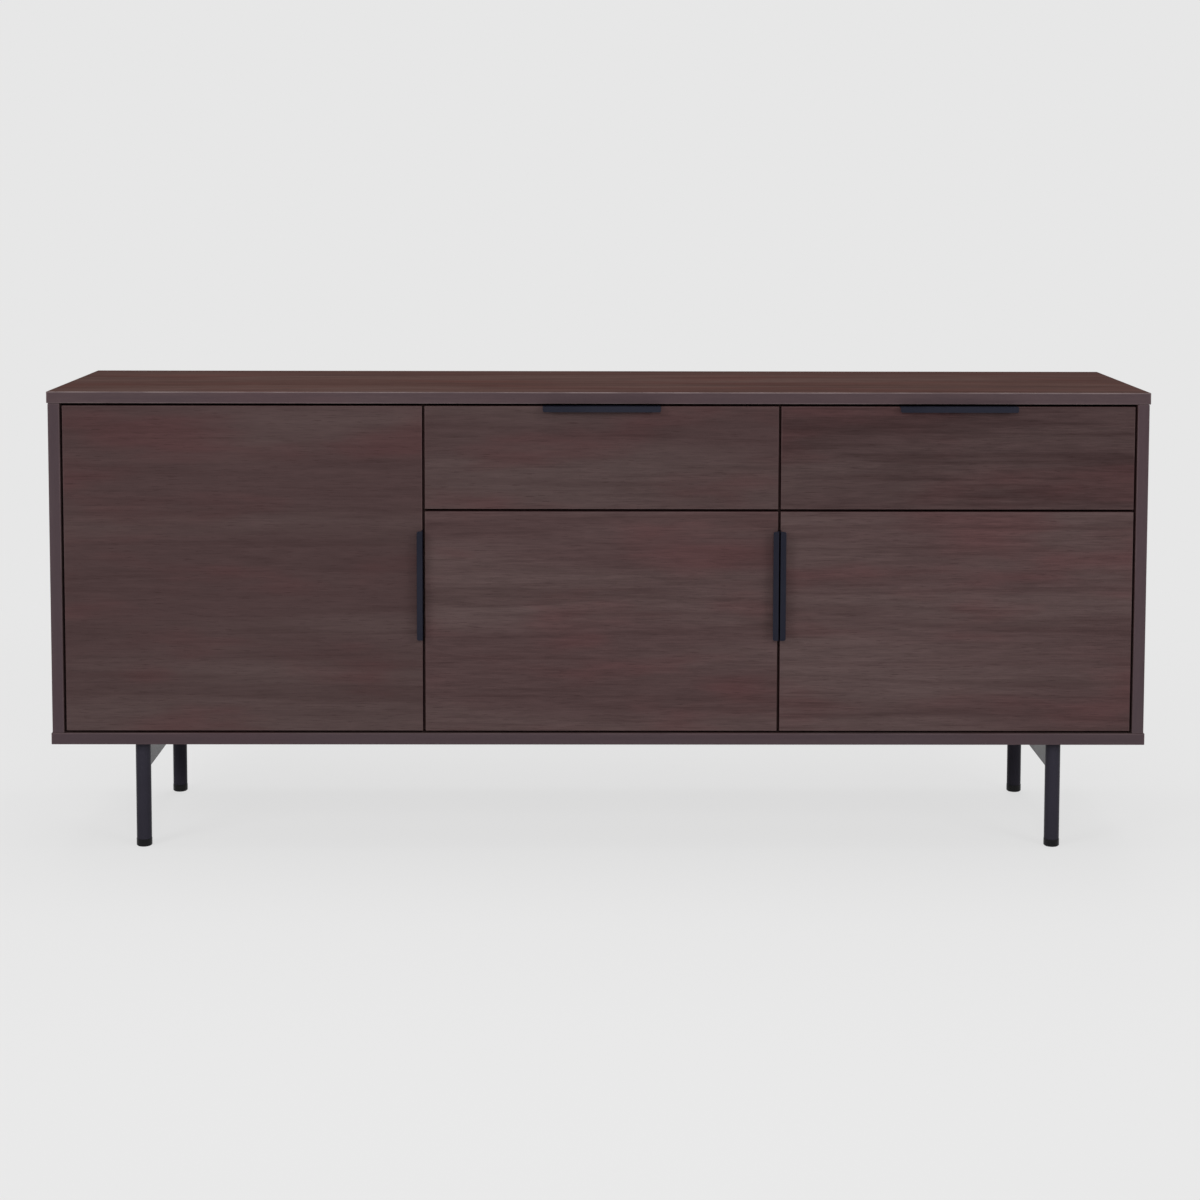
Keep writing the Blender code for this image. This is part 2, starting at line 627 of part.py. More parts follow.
def build_leg_frame(name, x):
    """A steel frame: two tube legs and the box rail between their tops, open through its screw holes."""
    top = LEG_TOP_Z
    rail_bottom = top - RAIL_HEIGHT
    half = RAIL_WIDTH / 2
    rail = block((x - half, FRONT_LEG_Y, rail_bottom), (x + half, REAR_LEG_Y, top))
    frame = make_part(name, rail, "black_steel")
    foot = GLIDE_HEIGHT + FIT
    for y in (FRONT_LEG_Y, REAR_LEG_Y):
        shape_with(frame, rod((x, y, 0), Z_AXIS, LEG_RADIUS, foot, top, FINE_SEGMENTS), "UNION")
    low = (x - half + RAIL_WALL, FRONT_LEG_Y + LEG_RADIUS, rail_bottom + RAIL_WALL)
    high = (x + half - RAIL_WALL, REAR_LEG_Y - LEG_RADIUS, top - RAIL_WALL)
    shape_with(frame, block(low, high))
    for y in (FRONT_LEG_Y, REAR_LEG_Y):
        bore_top = top - LEG_WALL
        shape_with(frame, rod((x, y, 0), Z_AXIS, LEG_RADIUS - LEG_WALL, foot - FIT, bore_top, FINE_SEGMENTS))
    first = FRONT_LEG_Y + RAIL_SCREW_INSET
    last = REAR_LEG_Y - RAIL_SCREW_INSET
    for y in (first, (first + last) / 2, last):
        wall = RAIL_WALL + FIT
        shape_with(frame, rod((x, y, rail_bottom), Z_AXIS, RAIL_ACCESS_RADIUS, -FIT, wall, SMALL_SEGMENTS))
        shape_with(frame, rod((x, y, top), -Z_AXIS, SCREW_RADIUS + FIT, -FIT, wall, SMALL_SEGMENTS))


def build_legs():
    """The two leg frames and the glide in the foot of each leg."""
    stem = LEG_RADIUS - LEG_WALL - FIT
    profile = (
        (GLIDE_RADIUS - GLIDE_CHAMFER, 0.0),
        (GLIDE_RADIUS, GLIDE_CHAMFER),
        (GLIDE_RADIUS, GLIDE_HEIGHT),
        (stem, GLIDE_HEIGHT),
        (stem, GLIDE_HEIGHT + GLIDE_STEM),
    )
    for side_name, x in (("left", -LEG_X), ("right", LEG_X)):
        build_leg_frame(f"{side_name}_leg_frame", x)
        for end_name, y in (("front", FRONT_LEG_Y), ("rear", REAR_LEG_Y)):
            glide = turned((x, y, 0), Z_AXIS, profile, FINE_SEGMENTS)
            make_part(f"{end_name}_{side_name}_foot_glide", glide, "black_plastic")


def main():
    """Builds the whole sideboard."""
    clear_scene()
    build_carcass()
    for door in DOORS:
        build_door(door)
        for height_name, z in hinge_heights(door).items():
            build_hinge_arm(f"{door}_door_{height_name}_hinge_arm", door, z)
    for drawer in DRAWERS:
        build_drawer(drawer)
    build_legs()


main()
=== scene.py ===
"""The sideboard dressed for its picture.

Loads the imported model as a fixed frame, gives every node its finish, adds the small fittings that the solids
leave out, and sets up the floor, the light and the camera. Lengths are metres in the model's own frame: +X
points right along the front, +Y from the front to the back and +Z up, with the floor at zero.
"""

import logging
import math
from collections.abc import Callable, Sequence
from dataclasses import dataclass, replace
from enum import Enum
from functools import cached_property

import bpy
import numpy as np
from mathutils import Matrix, Vector

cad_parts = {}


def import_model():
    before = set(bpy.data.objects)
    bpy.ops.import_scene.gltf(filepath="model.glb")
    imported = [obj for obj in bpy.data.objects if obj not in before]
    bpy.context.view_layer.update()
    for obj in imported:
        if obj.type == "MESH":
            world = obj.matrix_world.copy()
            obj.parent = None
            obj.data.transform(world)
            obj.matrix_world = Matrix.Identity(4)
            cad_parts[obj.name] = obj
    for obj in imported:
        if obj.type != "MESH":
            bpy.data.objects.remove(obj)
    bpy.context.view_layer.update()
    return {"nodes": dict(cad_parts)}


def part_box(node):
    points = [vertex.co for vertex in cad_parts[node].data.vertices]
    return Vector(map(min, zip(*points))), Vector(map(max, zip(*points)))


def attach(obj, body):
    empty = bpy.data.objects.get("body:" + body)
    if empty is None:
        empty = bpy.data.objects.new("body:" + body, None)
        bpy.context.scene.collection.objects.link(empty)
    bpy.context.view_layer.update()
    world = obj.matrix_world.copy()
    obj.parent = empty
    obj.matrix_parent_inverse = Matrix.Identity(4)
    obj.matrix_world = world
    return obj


LOG = logging.getLogger("sideboard")

Colour = tuple[float, float, float]
Triple = tuple[float, float, float]
Pair = tuple[float, float]
Socket = bpy.types.NodeSocket
Node = bpy.types.Node
Tree = bpy.types.NodeTree
Outputs = bpy.types.NodeOutputs
Material = bpy.types.Material
HeightChange = Callable[[np.ndarray, np.ndarray, np.ndarray], np.ndarray]


def from_screen(red: float, green: float, blue: float) -> Colour:
    """Turns a colour as a screen shows it into the linear values that shaders take, by the sRGB curve.

    Args:
        red: Red from 0 to 255.
        green: Green from 0 to 255.
        blue: Blue from 0 to 255.

    Returns:
        The linear colour, each part from 0 to 1.
    """
    parts = np.array([red, green, blue]) / 255.0
    low = parts / 12.92
    high = ((parts + 0.055) / 1.055) ** 2.4
    return tuple(float(part) for part in np.where(parts <= 0.04045, low, high))


class Grain(Enum):
    """The way that the grain runs on a board, as the turn that brings it onto the pattern's own X."""

    ALONG_WIDTH = (0.0, 0.0, 0.0)
    ALONG_DEPTH = (0.0, 0.0, -math.pi / 2)
    ALONG_HEIGHT = (0.0, math.pi / 2, 0.0)


class Thickness(Enum):
    """The axis that a board is thin along, with the axes that its banded edges face."""

    ACROSS = (0.0, 1.0, 1.0)
    DEEP = (1.0, 0.0, 1.0)
    UPRIGHT = (1.0, 1.0, 0.0)


class Coating(Enum):
    """The shared effect that draws a plain finish's surface, by its name in Effects."""

    POWDER = "powder_coat"
    DRAWN = "drawn_steel"
    MOULDED = "mould_texture"


@dataclass(frozen=True)
class Layer:
    """One soft noise of a pattern.

    Attributes:
        cells: How many cells it has in a metre along each axis.
        detail: How many finer layers it has.
        span: The noise where its mask starts to change, and where the change ends.
        result: The mask up to the start, and from the end on.
        distortion: How far it is pushed about by itself.
        share: How much of its own colour the mask brings in.
    """

    cells: Triple
    detail: float
    span: Pair = (0.0, 1.0)
    result: Pair = (0.0, 1.0)
    distortion: float = 0.0
    share: float = 1.0


BANDS = Layer((1.1, 9.0, 9.0), 2.0, span=(0.36, 0.64))
PATCHES = Layer((3.4, 14.0, 14.0), 3.0, span=(0.47, 0.70), share=0.6)
FLOW = Layer((1.9, 46.0, 46.0), 4.0, span=(0.42, 0.70), distortion=0.9, share=0.36)
STREAKS = Layer((5.5, 210.0, 210.0), 3.0, span=(0.52, 0.74), distortion=0.3, share=0.28)
PORES = Layer((42.0, 1100.0, 1100.0), 1.0, span=(0.62, 0.72), share=0.45)
FIBRE = Layer((26.0, 520.0, 520.0), 3.0, span=(0.25, 0.75), result=(-0.06, 0.06))
RIPPLE = Layer((16.0, 130.0, 130.0), 4.0, span=(0.30, 0.70), result=(-0.05, 0.05), distortion=0.4)
# Patches that break up the painted highlight on the corners of boards.
HIGHLIGHT_PATCHES = Layer((14.0, 14.0, 14.0), 3.0, span=(0.30, 0.65), result=(0.45, 1.0))
BROAD_DUST = Layer((5.0, 5.0, 5.0), 4.0, span=(0.40, 0.70))
FINE_DUST = Layer((160.0, 160.0, 160.0), 2.0, span=(0.45, 0.70))
COAT_DRIFT = Layer((9.0, 9.0, 9.0), 3.0, span=(0.35, 0.65), share=0.6)
COAT_PEEL = Layer((620.0, 620.0, 620.0), 2.0)
COAT_SPECKS = Layer((1900.0, 1900.0, 1900.0), 1.0, span=(0.60, 0.70), share=0.5)
DRAWN_LINES = Layer((1500.0, 22.0, 1500.0), 2.0)
PLATING_CLOUD = Layer((70.0, 40.0, 70.0), 3.0, span=(0.40, 0.64), distortion=0.4)
MOULD_GRAIN = Layer((2400.0, 2400.0, 2400.0), 2.0)
SCUFFS = Layer((190.0, 190.0, 420.0), 3.0, span=(0.52, 0.70), distortion=0.5)


class Graph:
    """Adds nodes to one node tree and joins them."""

    def __init__(self, tree: Tree) -> None:
        """Keeps the tree that the nodes go into."""
        self.tree = tree

    def feed(self, socket: Socket, value: object) -> None:
        """Joins a socket to an input, or sets the input's own value.

        Args:
            socket: The input.
            value: Another node's output, a number, or a colour or vector of three numbers.
        """
        if isinstance(value, Socket):
            self.tree.links.new(value, socket)
        elif socket.type == "RGBA":
            socket.default_value = (*value, 1.0)
        else:
            socket.default_value = value

    def add(self, kind: str, inputs: dict | None = None, **settings: object) -> Node:
        """Adds one node.

        Args:
            kind: The node's type name without the words that every type starts with.
            inputs: A value or an output for each input, by name or place.
            settings: The node's own settings.

        Returns:
            The new node.
        """
        node = self.tree.nodes.new(f"ShaderNode{kind}")
        for name, value in settings.items():
            setattr(node, name, value)
        for key, value in (inputs or {}).items():
            self.feed(node.inputs[key], value)
        return node

    def fill(self, node: Node, *values: object) -> Node:
        """Feeds a node's inputs in order.

        Args:
            node: The node.
            values: A value or an output for each input.

        Returns:
            The same node.
        """
        for socket, value in zip(node.inputs, values):
            self.feed(socket, value)
        return node

    def use(self, tree: Tree, *values: object) -> Outputs:
        """Places a shared effect, feeds its inputs in order and gives its outputs."""
        return self.fill(self.add("Group", node_tree=tree), *values).outputs

    def noise(self, place: Socket, layer: Layer) -> Socket:
        """A layer's own noise.

        Args:
            place: Where the noise is read, in metres.
            layer: The layer.

        Returns:
            The noise, from 0 to 1.
        """
        scaled = self.add("Mapping", {"Vector": place, "Scale": layer.cells})
        inputs = {"Vector": scaled.outputs[0], "Scale": 1.0, "Detail": layer.detail,
                  "Distortion": layer.distortion}
        return self.add("TexNoise", inputs, noise_dimensions="3D").outputs[0]

    def mask(self, place: Socket, layer: Layer) -> Socket:
        """A layer's noise, eased from one of its results to the other over its span."""
        return self.ramp(self.noise(place, layer), *layer.span, *layer.result)

    def ramp(self, value: Socket, start: float, end: float, low: float = 0.0, high: float = 1.0) -> Socket:
        """Eases a value from low to high while it goes from start to end.

        Args:
            value: The value to read.
            start: Where the change starts.
            end: Where the change ends.
            low: The result up to start.
            high: The result from end on.

        Returns:
            The eased value.
        """
        inputs = {"Value": value, "From Min": start, "From Max": end, "To Min": low, "To Max": high}
        return self.add("MapRange", inputs, interpolation_type="SMOOTHSTEP", clamp=True).outputs[0]

    def calc(self, operation: str, first: object, *others: object) -> Socket:
        """Arithmetic on numbers, from the first to the last.

        Args:
            operation: The kind of step.
            first: The first number or output.
            others: Those that it is put together with, one after another.

        Returns:
            The result.
        """
        for other in others or (0.0,):
            first = self.add("Math", {0: first, 1: other}, operation=operation).outputs[0]
        return first

    def vector(self, operation: str, *inputs: object) -> Socket:
        """One step of arithmetic on vectors.

        Args:
            operation: The kind of step.
            inputs: The vectors or outputs.

        Returns:
            The new vector, or the number that a length is.
        """
        outputs = self.add("VectorMath", dict(enumerate(inputs)), operation=operation).outputs
        return outputs["Value"] if operation == "LENGTH" else outputs[0]

    def parts(self, vector: Socket) -> Outputs:
        """The three parts of a vector."""
        return self.add("SeparateXYZ", {0: vector}).outputs

    def blend(self, factor: object, first: object, second: object, way: str = "MIX") -> Socket:
        """Blends two colours.

        Args:
            factor: How much of the second colour is taken.
            first: The first colour.
            second: The second colour.
            way: How they are put together.

        Returns:
            The blended colour.
        """
        inputs = {0: factor, 6: first, 7: second}
        return self.add("Mix", inputs, data_type="RGBA", blend_type=way).outputs[2]

    def between(self, factor: Socket, first: object, second: object) -> Socket:
        """Blends two numbers, where the factor says how much of the second is taken."""
        return self.add("Mix", {0: factor, 2: first, 3: second}, data_type="FLOAT").outputs[0]


class Effects:
    """The shader groups that several finishes share, each built once when it is first asked for."""

    KINDS = {"colour": "NodeSocketColor", "number": "NodeSocketFloat", "vector": "NodeSocketVector"}
    SURFACE = {"Color": "colour", "Variation": "number", "Height": "number"}
    # How deep under a face, in metres, the colour of the banded edges and the painted highlight on the corners
    # fade out.
    BAND_DEPTH = (0.00025, 0.00055)
    HIGHLIGHT_DEPTH = (0.0006, 0.0024)
    # From below a board's middle to above it, in metres, and the strength of the painted highlight at either.
    MIDDLE_SPAN = (-0.004, 0.004)
    MIDDLE_HIGHLIGHT = (0.35, 1.0)

    def group(self, name: str, inputs: dict[str, str],
              outputs: dict[str, str]) -> tuple[Graph, list[Socket], Node]:
        """Starts one shader group.

        Args:
            name: The group's name.
            inputs: The kind of each input, by name.
            outputs: The kind of each output, by name.

        Returns:
            The graph to add nodes with, what each input brings, and the node that takes the outputs.
        """
        tree = bpy.data.node_groups.new(name, "ShaderNodeTree")
        for way, sockets in (("INPUT", inputs), ("OUTPUT", outputs)):
            for label, kind in sockets.items():
                tree.interface.new_socket(name=label, in_out=way, socket_type=self.KINDS[kind])
        given = list(tree.nodes.new("NodeGroupInput").outputs)[:len(inputs)]
        return Graph(tree), given, tree.nodes.new("NodeGroupOutput")

    @cached_property
    def woodgrain(self) -> Tree:
        """Printed woodgrain with its grain along X: soft bands, reddish patches, streaks, fibres and pores.

        The colour is lighter or darker by the sum of the fibres and a coarser ripple, times Figure.

        Returns:
            The group.
        """
        inputs = {"Vector": "vector", "Base": "colour", "Light": "colour", "Red": "colour", "Dark": "colour",
                  "Contrast": "number", "Figure": "number"}
        graph, given, result = self.group("woodgrain", inputs, self.SURFACE)
        place, base, light, red, dark, contrast, figure = given
        strong = graph.calc("MULTIPLY", contrast, figure)
        colour = base
        for layer, strength, tint in ((BANDS, contrast, light), (PATCHES, contrast, red),
                                      (FLOW, strong, dark), (STREAKS, strong, dark)):
            amount = graph.calc("MULTIPLY", graph.mask(place, layer), strength, layer.share)
            colour = graph.blend(amount, colour, tint)
        pores = graph.mask(place, PORES)
        colour = graph.blend(graph.calc("MULTIPLY", pores, PORES.share), colour, dark)
        fibre = graph.noise(place, FIBRE)
        swing = graph.calc("ADD", graph.ramp(fibre, *FIBRE.span, *FIBRE.result), graph.mask(place, RIPPLE))
        shade = graph.calc("ADD", graph.calc("MULTIPLY", swing, figure), 1.0)
        tone = graph.add("CombineXYZ", {0: shade, 1: shade, 2: shade}).outputs[0]
        height = graph.calc("MULTIPLY", graph.calc("SUBTRACT", fibre, pores), 0.5)
        graph.fill(result, graph.blend(1.0, colour, tone, "MULTIPLY"), fibre, height)
        return graph.tree

    @cached_property
    def board_edges(self) -> Tree:
        """Where a board's banded edges lie and how much painted highlight its corners take, from its middle
        and half its size.

        The corners above the board's middle take more painted highlight than those below it, as light falls
        from above.

        Returns:
            The group.
        """
        inputs = {"Vector": "vector", "Centre": "vector", "Half": "vector", "Banded": "vector",
                  "Highlight": "number"}
        graph, given, result = self.group("board_edges", inputs, {"Band": "number", "CornerHighlight": "number"})
        place, centre, half, banded, edge_highlight = given
        offset = graph.vector("SUBTRACT", place, centre)
        upper = graph.ramp(graph.parts(offset)[2], *self.MIDDLE_SPAN, *self.MIDDLE_HIGHLIGHT)
        depths = graph.parts(graph.vector("SUBTRACT", half, graph.vector("ABSOLUTE", offset)))
        bands = [graph.calc("MULTIPLY", graph.ramp(depth, *self.BAND_DEPTH, 1.0, 0.0), faced)
                 for depth, faced in zip(depths, graph.parts(banded))]
        near = [graph.ramp(depth, *self.HIGHLIGHT_DEPTH, 1.0, 0.0) for depth in depths]
        corners = [graph.calc("MULTIPLY", near[one], near[two]) for one, two in ((0, 1), (1, 2), (0, 2))]
        # Painted highlight on the corners: patchy, stronger on the upper corners where light falls from above.
        highlight_amount = graph.calc("MULTIPLY", graph.mask(place, HIGHLIGHT_PATCHES), upper, edge_highlight)
        corner = graph.calc("MULTIPLY", graph.calc("MAXIMUM", *corners), highlight_amount)
        graph.fill(result, graph.calc("MAXIMUM", *bands), corner)
        return graph.tree

    @cached_property
    def dust(self) -> Tree:
        """Faint dust and handling marks: the product of a broad soft mask, a fine one and an amount.

        Returns:
            The group.
        """
        inputs = {"Vector": "vector", "Amount": "number"}
        graph, (place, amount), result = self.group("dust", inputs, {"Mask": "number"})
        masks = graph.mask(place, BROAD_DUST), graph.mask(place, FINE_DUST)
        graph.fill(result, graph.calc("MULTIPLY", *masks, amount))
        return graph.tree

    @cached_property
    def powder_coat(self) -> Tree:
        """Powder coat on steel: a slight peel in the surface, a slow drift in its tone and paler specks.

        Returns:
            The group.
        """
        inputs = {"Vector": "vector", "Base": "colour", "Lift": "colour"}
        graph, (place, base, lift), result = self.group("powder_coat", inputs, self.SURFACE)
        drift = graph.mask(place, COAT_DRIFT)
        colour = graph.blend(graph.calc("MULTIPLY", drift, COAT_DRIFT.share), base, lift)
        specks = graph.calc("MULTIPLY", graph.mask(place, COAT_SPECKS), COAT_SPECKS.share)
        graph.fill(result, graph.blend(specks, colour, lift), drift, graph.noise(place, COAT_PEEL))
        return graph.tree

    @cached_property
    def drawn_steel(self) -> Tree:
        """Plated sheet steel: fine lines along Y from drawing, and a cloudy plating.

        Returns:
            The group.
        """
        inputs = {"Vector": "vector", "Base": "colour", "Cloud": "colour"}
        graph, (place, base, dull), result = self.group("drawn_steel", inputs, self.SURFACE)
        lines, cloud = graph.noise(place, DRAWN_LINES), graph.mask(place, PLATING_CLOUD)
        graph.fill(result, graph.blend(cloud, base, dull), graph.between(lines, cloud, lines), lines)
        return graph.tree

    @cached_property
    def mould_texture(self) -> Tree:
        """The fine spark texture of a moulded plastic part, with slightly paler scuffs.

        Returns:
            The group.
        """
        inputs = {"Vector": "vector", "Base": "colour", "Scuff": "colour"}
        graph, (place, base, pale), result = self.group("mould_texture", inputs, self.SURFACE)
        scuff = graph.mask(place, SCUFFS)
        graph.fill(result, graph.blend(scuff, base, pale), scuff, graph.noise(place, MOULD_GRAIN))
        return graph.tree


EFFECTS = Effects()


class MaterialGraph(Graph):
    """A material in the making: its nodes, its shader and the output with the place on the object."""

    RELIEF_STRENGTH = 0.6

    def __init__(self, name: str) -> None:
        """Starts the material with its shader.

        Args:
            name: The material's name.
        """
        self.material = bpy.data.materials.new(name)
        self.material.use_nodes = True
        super().__init__(self.material.node_tree)
        self.shader = self.tree.nodes["Principled BSDF"]
        self.place = self.add("TexCoord").outputs["Object"]

    def shade(self, inputs: dict[str, object]) -> None:
        """Gives the shader a value or an output for each input that is named."""
        for name, value in inputs.items():
            self.feed(self.shader.inputs[name], value)

    def dusted(self, roughness: Socket, amount: float, lift: float) -> Socket:
        """Makes a roughness rise where dust lies.

        Args:
            roughness: The clean roughness.
            amount: How much dust there is.
            lift: How far full dust raises it.

        Returns:
            The raised roughness.
        """
        dust = self.use(EFFECTS.dust, self.place, amount)[0]
        return self.calc("ADD", roughness, self.calc("MULTIPLY", dust, lift))

    def relief(self, height: Socket, distance: float) -> None:
        """Gives the shader a fine relief.

        Args:
            height: The height, from 0 to 1.
            distance: The real height of 1, in metres.
        """
        inputs = {"Height": height, "Distance": distance, "Strength": self.RELIEF_STRENGTH}
        self.shade({"Normal": self.add("Bump", inputs).outputs[0]})


@dataclass(frozen=True)
class Board:
    """One board of the model: its middle, half its size, and how it is cut.

    Attributes:
        node: The board's name in the model.
        centre: The middle of the board.
        half: Half of its size along each axis.
        thickness: The axis that it is thin along.
        grain: The way that its grain runs.
        pins: Whether shelf pins stand out of its faces.
        tone: How light it is against the other boards.
        figure: How strongly its fine grain shows against theirs.
    """

    node: str
    centre: Triple
    half: Triple
    thickness: Thickness
    grain: Grain
    pins: bool
    tone: float
    figure: float


@dataclass(frozen=True)
class PlainFinish:
    """A finish with one shared effect: coated steel, plated steel or moulded plastic.

    Attributes:
        name: The finish's name.
        effect: The shared effect that draws its surface.
        colours: The effect's two colours.
        roughness: The least and the greatest roughness.
        metallic: Whether it is bare metal.
        specular: How strongly it mirrors.
        relief: The height of its relief, in metres.
    """

    name: str
    effect: Coating
    colours: tuple[Colour, Colour]
    roughness: Pair
    metallic: float
    specular: float
    relief: float

    VARIATION_SPAN = (0.1, 0.9)
    DUST = 0.6
    DUST_LIFT = 0.15

    def material(self) -> Material:
        """Builds the finish.

        Returns:
            The finished material.
        """
        graph = MaterialGraph(self.name)
        surface = graph.use(getattr(EFFECTS, self.effect.value), graph.place, *self.colours)
        roughness = graph.ramp(surface["Variation"], *self.VARIATION_SPAN, *self.roughness)
        graph.shade({"Base Color": surface["Color"], "Metallic": self.metallic,
                     "Roughness": graph.dusted(roughness, self.DUST, self.DUST_LIFT),
                     "Specular IOR Level": self.specular})
        graph.relief(surface["Height"], self.relief)
        return graph.material


@dataclass(frozen=True)
class Laminate:
    """A woodgrain laminate on board, with banded edges.

    Attributes:
        name: The finish's name.
        base: The ground colour.
        light: The colour of its lighter bands.
        red: The colour of its reddish patches.
        dark: The colour of its streaks and pores.
        band_and_gap_shade: The colour of the banded edge faces; on the fronts it is painted shade for the gaps
            between them.
        corner: The colour of the painted highlight on the sharp corners.
        contrast: How strongly the grain shows.
        specular: How strongly it mirrors.
        edge_highlight: How strongly the painted highlight on the corners shows.
    """

    name: str
    base: Colour
    light: Colour
    red: Colour
    dark: Colour
    band_and_gap_shade: Colour
    corner: Colour
    contrast: float
    specular: float
    edge_highlight: float

    ROUGHNESS = (0.69, 0.79)
    VARIATION_SPAN = (0.2, 0.8)
    DUST = 0.5
    DUST_LIFT = 0.12
    RELIEF = 0.00006
    # How much of the edge colour the banded faces take; on the fronts that colour is painted shade.
    BAND_AND_GAP_SHADE_SHARE = 0.7
    # How far the pattern moves from one board to the next along each axis, so that no two boards match.
    BOARD_SHIFT = (3.17, 1.31, 2.23)
    PIN_NICKEL = (0.62, 0.60, 0.57)
    PIN_ROUGHNESS = 0.28
    PIN_CLEARANCE = 0.0001

    def material(self, board: Board, number: int) -> Material:
        """Builds the laminate for one board.

        Args:
            board: The board that it covers.
            number: The board's number, which moves the grain.

        Returns:
            The finished material.
        """
        graph = MaterialGraph(f"{board.node}_{self.name}")
        shift = tuple(number * step for step in self.BOARD_SHIFT)
        mapping = {"Vector": graph.place, "Location": shift, "Rotation": board.grain.value}
        colours = [tuple(part * board.tone for part in colour)
                   for colour in (self.base, self.light, self.red, self.dark)]
        turned = graph.add("Mapping", mapping).outputs[0]
        grain = graph.use(EFFECTS.woodgrain, turned, *colours, self.contrast, board.figure)
        cut = (board.centre, board.half, board.thickness.value)
        edges = graph.use(EFFECTS.board_edges, graph.place, *cut, self.edge_highlight)
        # Banded edge faces take the edge colour, which on the fronts is painted shade for the gaps between
        # them.
        band_and_gap_shade_mix = graph.blend(self.BAND_AND_GAP_SHADE_SHARE, grain["Color"], self.band_and_gap_shade)
        colour = graph.blend(edges["Band"], grain["Color"], band_and_gap_shade_mix)
        # The corners take the painted highlight colour.
        colour = graph.blend(edges["CornerHighlight"], colour, self.corner)
        roughness = graph.ramp(grain["Variation"], *self.VARIATION_SPAN, *self.ROUGHNESS)
        roughness = graph.dusted(roughness, self.DUST, self.DUST_LIFT)
        if board.pins:
            offset = graph.vector("SUBTRACT", graph.place, board.centre)
            sideways = graph.calc("ABSOLUTE", graph.parts(offset)[0])
            pin = graph.calc("GREATER_THAN", sideways, board.half[0] + self.PIN_CLEARANCE)
            colour = graph.blend(pin, colour, self.PIN_NICKEL)
            roughness = graph.between(pin, roughness, self.PIN_ROUGHNESS)
            graph.shade({"Metallic": pin})
        graph.shade({"Base Color": colour, "Roughness": roughness, "Specular IOR Level": self.specular})
        graph.relief(grain["Height"], self.RELIEF)
        return graph.material


# The fronts' edge colour, darker than their faces, is painted shade for the gaps between the fronts.
FRONT_LAMINATE = Laminate(
    name="woodgrain", base=from_screen(73, 57, 57), light=from_screen(82, 68, 67),
    red=from_screen(82, 53, 54), dark=from_screen(52, 37, 37), band_and_gap_shade=from_screen(54, 31, 32),
    corner=from_screen(96, 78, 78), contrast=0.8, specular=0.02, edge_highlight=0.35)
CASE_LAMINATE = replace(
    FRONT_LAMINATE, name="case_woodgrain", band_and_gap_shade=from_screen(70, 60, 65), corner=from_screen(94, 79, 81),
    edge_highlight=0.6)
# The top's corners take the lightest painted highlight, at nearly full strength.
TOP_LAMINATE = replace(
    CASE_LAMINATE, name="top_woodgrain", base=from_screen(82, 61, 57), light=from_screen(91, 72, 68),
    red=from_screen(90, 59, 55), band_and_gap_shade=from_screen(72, 62, 67), corner=from_screen(122, 109, 109),
    specular=0.0, edge_highlight=0.95)
LINING_LAMINATE = Laminate(
    name="lining", base=from_screen(74, 56, 53), light=from_screen(80, 62, 58),
    red=from_screen(78, 54, 51), dark=from_screen(54, 39, 37), band_and_gap_shade=from_screen(56, 42, 41),
    corner=from_screen(80, 63, 60), contrast=0.6, specular=0.05, edge_highlight=0.4)
THIN_BOARD = Laminate(
    name="fibreboard", base=from_screen(68, 52, 50), light=from_screen(74, 58, 55),
    red=from_screen(72, 51, 48), dark=from_screen(54, 40, 38), band_and_gap_shade=from_screen(96, 74, 54),
    corner=from_screen(92, 74, 60), contrast=0.45, specular=0.15, edge_highlight=0.3)
LEG_BLACK = PlainFinish(
    name="black_powder_coat", effect=Coating.POWDER,
    colours=(from_screen(42, 40, 48), from_screen(48, 46, 55)),
    roughness=(0.20, 0.26), metallic=0.0, specular=0.05, relief=0.00004)
PULL_BLUE_BLACK = PlainFinish(
    name="blue_black_powder_coat", effect=Coating.POWDER,
    colours=(from_screen(24, 25, 36), from_screen(30, 31, 42)),
    roughness=(0.34, 0.44), metallic=0.0, specular=0.10, relief=0.00003)
ZINC = PlainFinish(
    name="zinc_plate", effect=Coating.DRAWN, colours=((0.56, 0.57, 0.58), (0.46, 0.47, 0.49)),
    roughness=(0.24, 0.40), metallic=1.0, specular=0.5, relief=0.00001)
NICKEL = PlainFinish(
    name="nickel_plate", effect=Coating.DRAWN, colours=((0.62, 0.60, 0.57), (0.55, 0.53, 0.50)),
    roughness=(0.18, 0.30), metallic=1.0, specular=0.5, relief=0.000008)
BLACK_PLASTIC = PlainFinish(
    name="black_plastic", effect=Coating.MOULDED, colours=(from_screen(13, 13, 14), from_screen(24, 23, 24)),
    roughness=(0.36, 0.50), metallic=0.0, specular=0.16, relief=0.00003)
BROWN_PLASTIC = PlainFinish(
    name="brown_plastic", effect=Coating.MOULDED, colours=(from_screen(58, 42, 40), from_screen(70, 54, 50)),
    roughness=(0.44, 0.58), metallic=0.0, specular=0.35, relief=0.00002)
SOFT_PAD = PlainFinish(
    name="smoked_pad", effect=Coating.MOULDED, colours=(from_screen(96, 92, 90), from_screen(120, 116, 112)),
    roughness=(0.30, 0.42), metallic=0.0, specular=0.5, relief=0.00001)


@dataclass
class Surface:
    """A closed surface as whole arrays.

    Attributes:
        points: The points, one row each.
        faces: The faces, each a list of point numbers that runs anticlockwise seen from outside.
    """

    points: np.ndarray
    faces: list[list[int]]

    def placed(self, origin: Sequence[float], axis: Triple) -> "Surface":
        """Moves the surface so that its own +Z points along an axis from an origin.

        Args:
            origin: Where its own zero goes.
            axis: The way that its own +Z points.

        Returns:
            The moved surface.
        """
        turn = np.array(Vector((0.0, 0.0, 1.0)).rotation_difference(Vector(axis)).to_matrix())
        return Surface(self.points @ turn.T + np.array(origin), self.faces)


